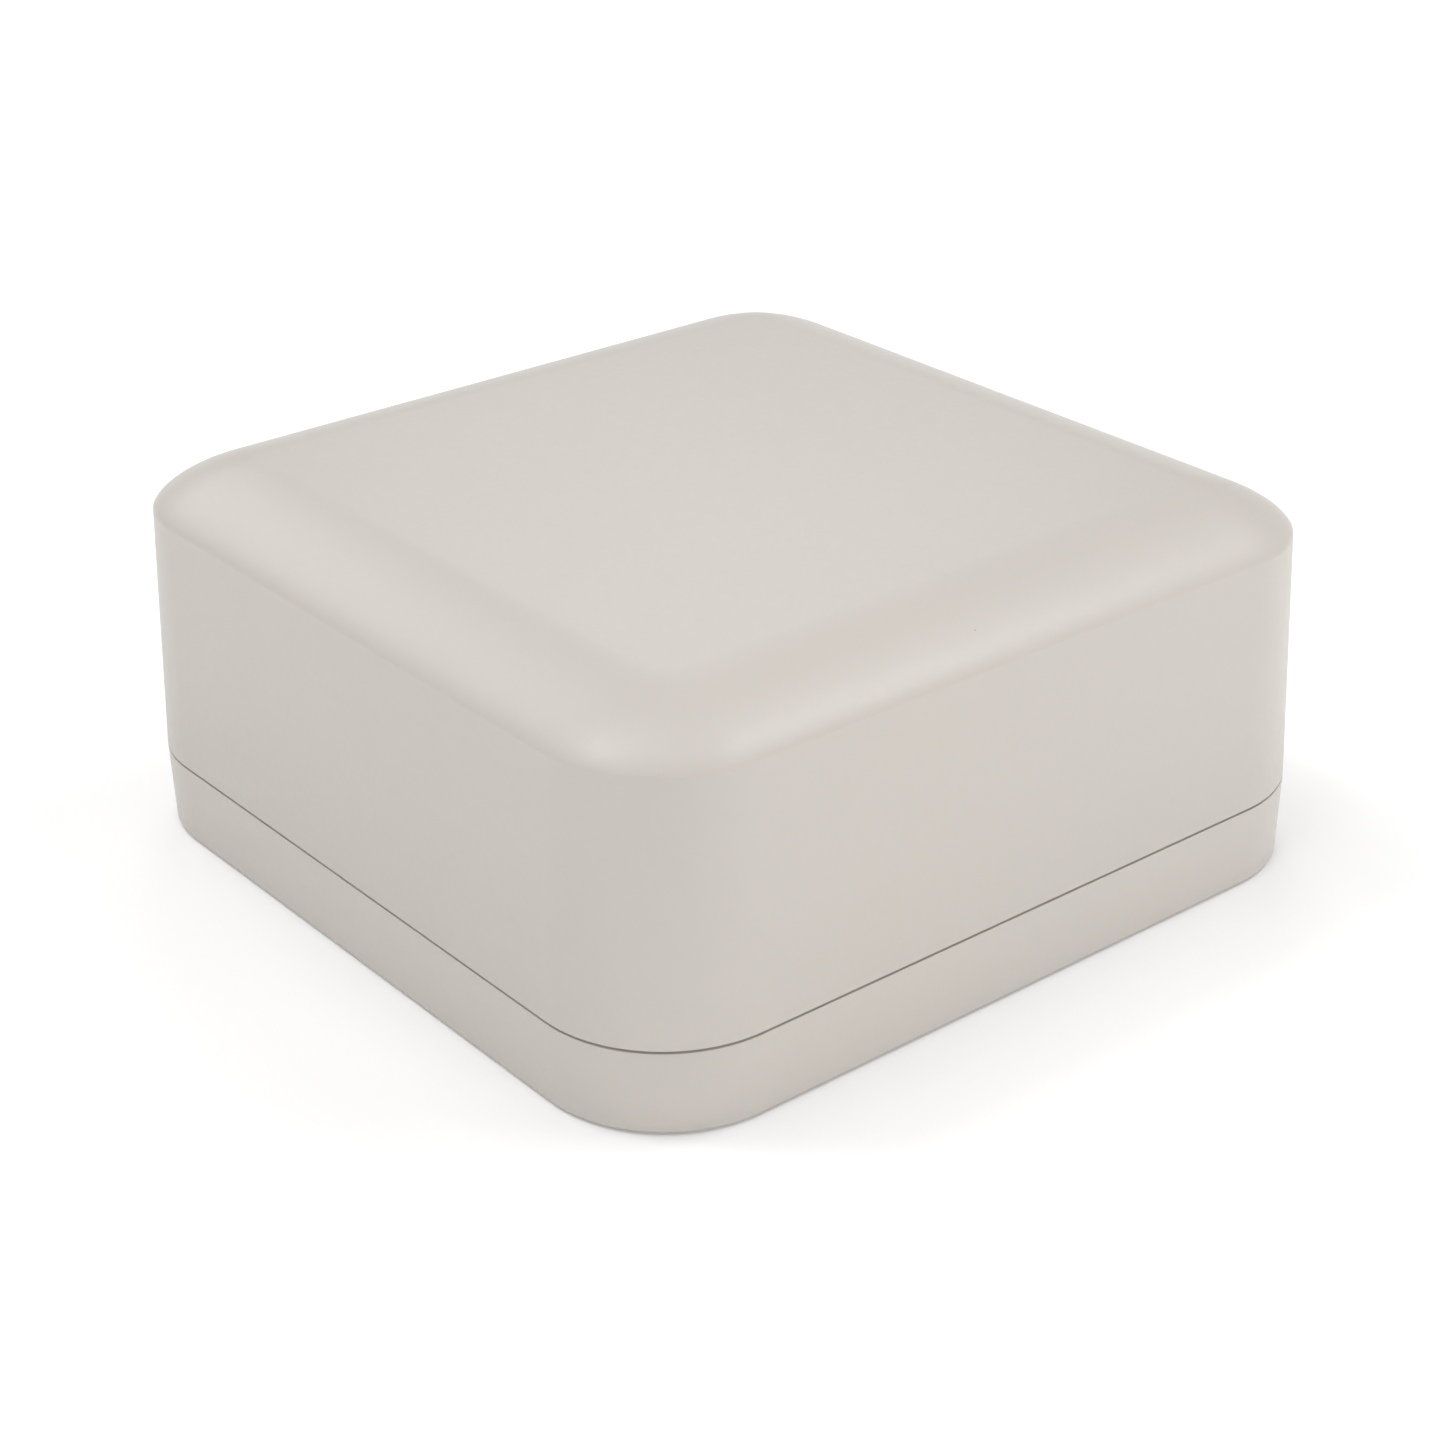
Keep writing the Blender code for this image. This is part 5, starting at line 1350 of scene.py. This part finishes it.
def make_stage():
    """A pale floor that runs far past the view."""
    bm = bmesh.new()
    bm.faces.new([bm.verts.new((sx * FLOOR_HALF, sy * FLOOR_HALF, FLOOR_LEVEL)) for sx, sy in CORNERS])
    mesh = bpy.data.meshes.new("floor")
    bm.to_mesh(mesh)
    bm.free()
    paper = Shader("pale_floor", (0.90, 0.90, 0.90), 0.9, Specular_IOR_Level=0.0,
                   Emission_Color=(1.0, 1.0, 1.0, 1.0))
    reach = paper.node("ShaderNodeVectorMath", operation="LENGTH")
    paper.link(paper.place, reach.inputs[0])
    paper.feed(paper.remap(reach.outputs["Value"], *FLOOR_FADE, *FLOOR_GLOW), "Emission Strength")
    mesh.materials.append(paper.material)
    floor = bpy.data.objects.new("floor", mesh)
    bpy.context.scene.collection.objects.link(floor)


CAMERA_AZIMUTH = -38.80
CAMERA_ELEVATION = 25.39
CAMERA_DISTANCE = 6.622 * WIDTH / 2
CAMERA_ROLL = math.radians(-0.67)
CAMERA_LENS = 72.53
CAMERA_SHIFT = (0.0044, -0.0527)


def make_camera():
    """The camera at the near corner, a little above."""
    back = direction(CAMERA_AZIMUTH, CAMERA_ELEVATION)
    across = Vector((0, 0, 1)).cross(back).normalized()
    up = back.cross(across)
    c = math.cos(CAMERA_ROLL)
    s = math.sin(CAMERA_ROLL)
    place = Matrix((across * c + up * s, up * c - across * s, back)).transposed().to_4x4()
    place.translation = Vector((0, 0, (RIM_Z + TOP_Z) / 2)) + back * CAMERA_DISTANCE
    data = bpy.data.cameras.new("camera")
    data.lens = CAMERA_LENS
    data.sensor_width = 36.0
    data.shift_x, data.shift_y = CAMERA_SHIFT
    data.clip_start = 0.01
    camera = bpy.data.objects.new("camera", data)
    camera.matrix_world = place
    bpy.context.scene.collection.objects.link(camera)
    bpy.context.scene.camera = camera


# Soft boxes: azimuth, elevation, size, watts
SOFT_BOXES = (
    (-76.0, 12, 0.5, 1.95), (-38.8, 12, 0.5, 1.05), (6.2, 12, 0.5, 2.80), (51.2, 12, 0.5, 3.05),
    (96.2, 12, 0.5, 0.65), (141.2, 38, 0.5, 1.60), (-173.8, 38, 0.5, 2.10), (-98.8, 64, 0.9, 3.30),
    (0.0, 90, 0.5, 1.80), (45.0, 60, 0.3, 1.00), (-137.0, 64, 0.22, 2.55), (73.0, 54, 0.3, 2.45),
)
SOFT_BOX_DISTANCE = 1.2
NO_GLOSS_BELOW = 20.0       # a lamp lower than this would bleach the top, seen from opposite
STUDIO_GLOW = 0.26
HORIZON_GLOW = 1.0
HORIZON_FADE = (0.03, 0.09)


def make_world():
    """A dim white room that is bright at the horizon."""
    world = bpy.data.worlds.new("studio")
    world.use_nodes = True
    nodes = world.node_tree.nodes
    link = world.node_tree.links.new
    background = nodes["Background"]
    background.inputs["Color"].default_value = (1.0, 1.0, 1.0, 1.0)
    split = nodes.new("ShaderNodeSeparateXYZ")
    fade = nodes.new("ShaderNodeMapRange")
    for socket, number in zip(("From Min", "From Max", "To Min", "To Max"),
                              (*HORIZON_FADE, HORIZON_GLOW, STUDIO_GLOW)):
        fade.inputs[socket].default_value = number
    link(nodes.new("ShaderNodeTexCoord").outputs["Generated"], split.inputs["Vector"])
    link(split.outputs["Z"], fade.inputs["Value"])
    link(fade.outputs["Result"], background.inputs["Strength"])
    bpy.context.scene.world = world


def make_lights():
    """Soft boxes all round and overhead."""
    for number, (azimuth, elevation, size, watts) in enumerate(SOFT_BOXES, 1):
        back = direction(azimuth, elevation)
        data = bpy.data.lights.new(f"soft_box_{number}", "AREA")
        data.shape = "SQUARE"
        data.size = size
        data.energy = watts
        lamp = bpy.data.objects.new(data.name, data)
        lamp.visible_glossy = elevation > NO_GLOSS_BELOW
        lamp.location = back * SOFT_BOX_DISTANCE
        lamp.rotation_euler = back.to_track_quat("Z", "Y").to_euler()
        bpy.context.scene.collection.objects.link(lamp)


bpy.context.scene.view_settings.view_transform = "Standard"
make_camera()
FINISHES = make_finishes()
make_cover()
make_base()
make_bracket()
make_screws()
make_gasket()
make_board()
make_small_parts()
make_chips()
make_shields()
make_cooling()
make_poe_transformer()
make_magnetics()
make_inductor()
make_capacitors()
make_ethernet_jack()
make_power_jack()
make_reset()
make_status_light()
make_antennas()
make_stage()
make_world()
make_lights()
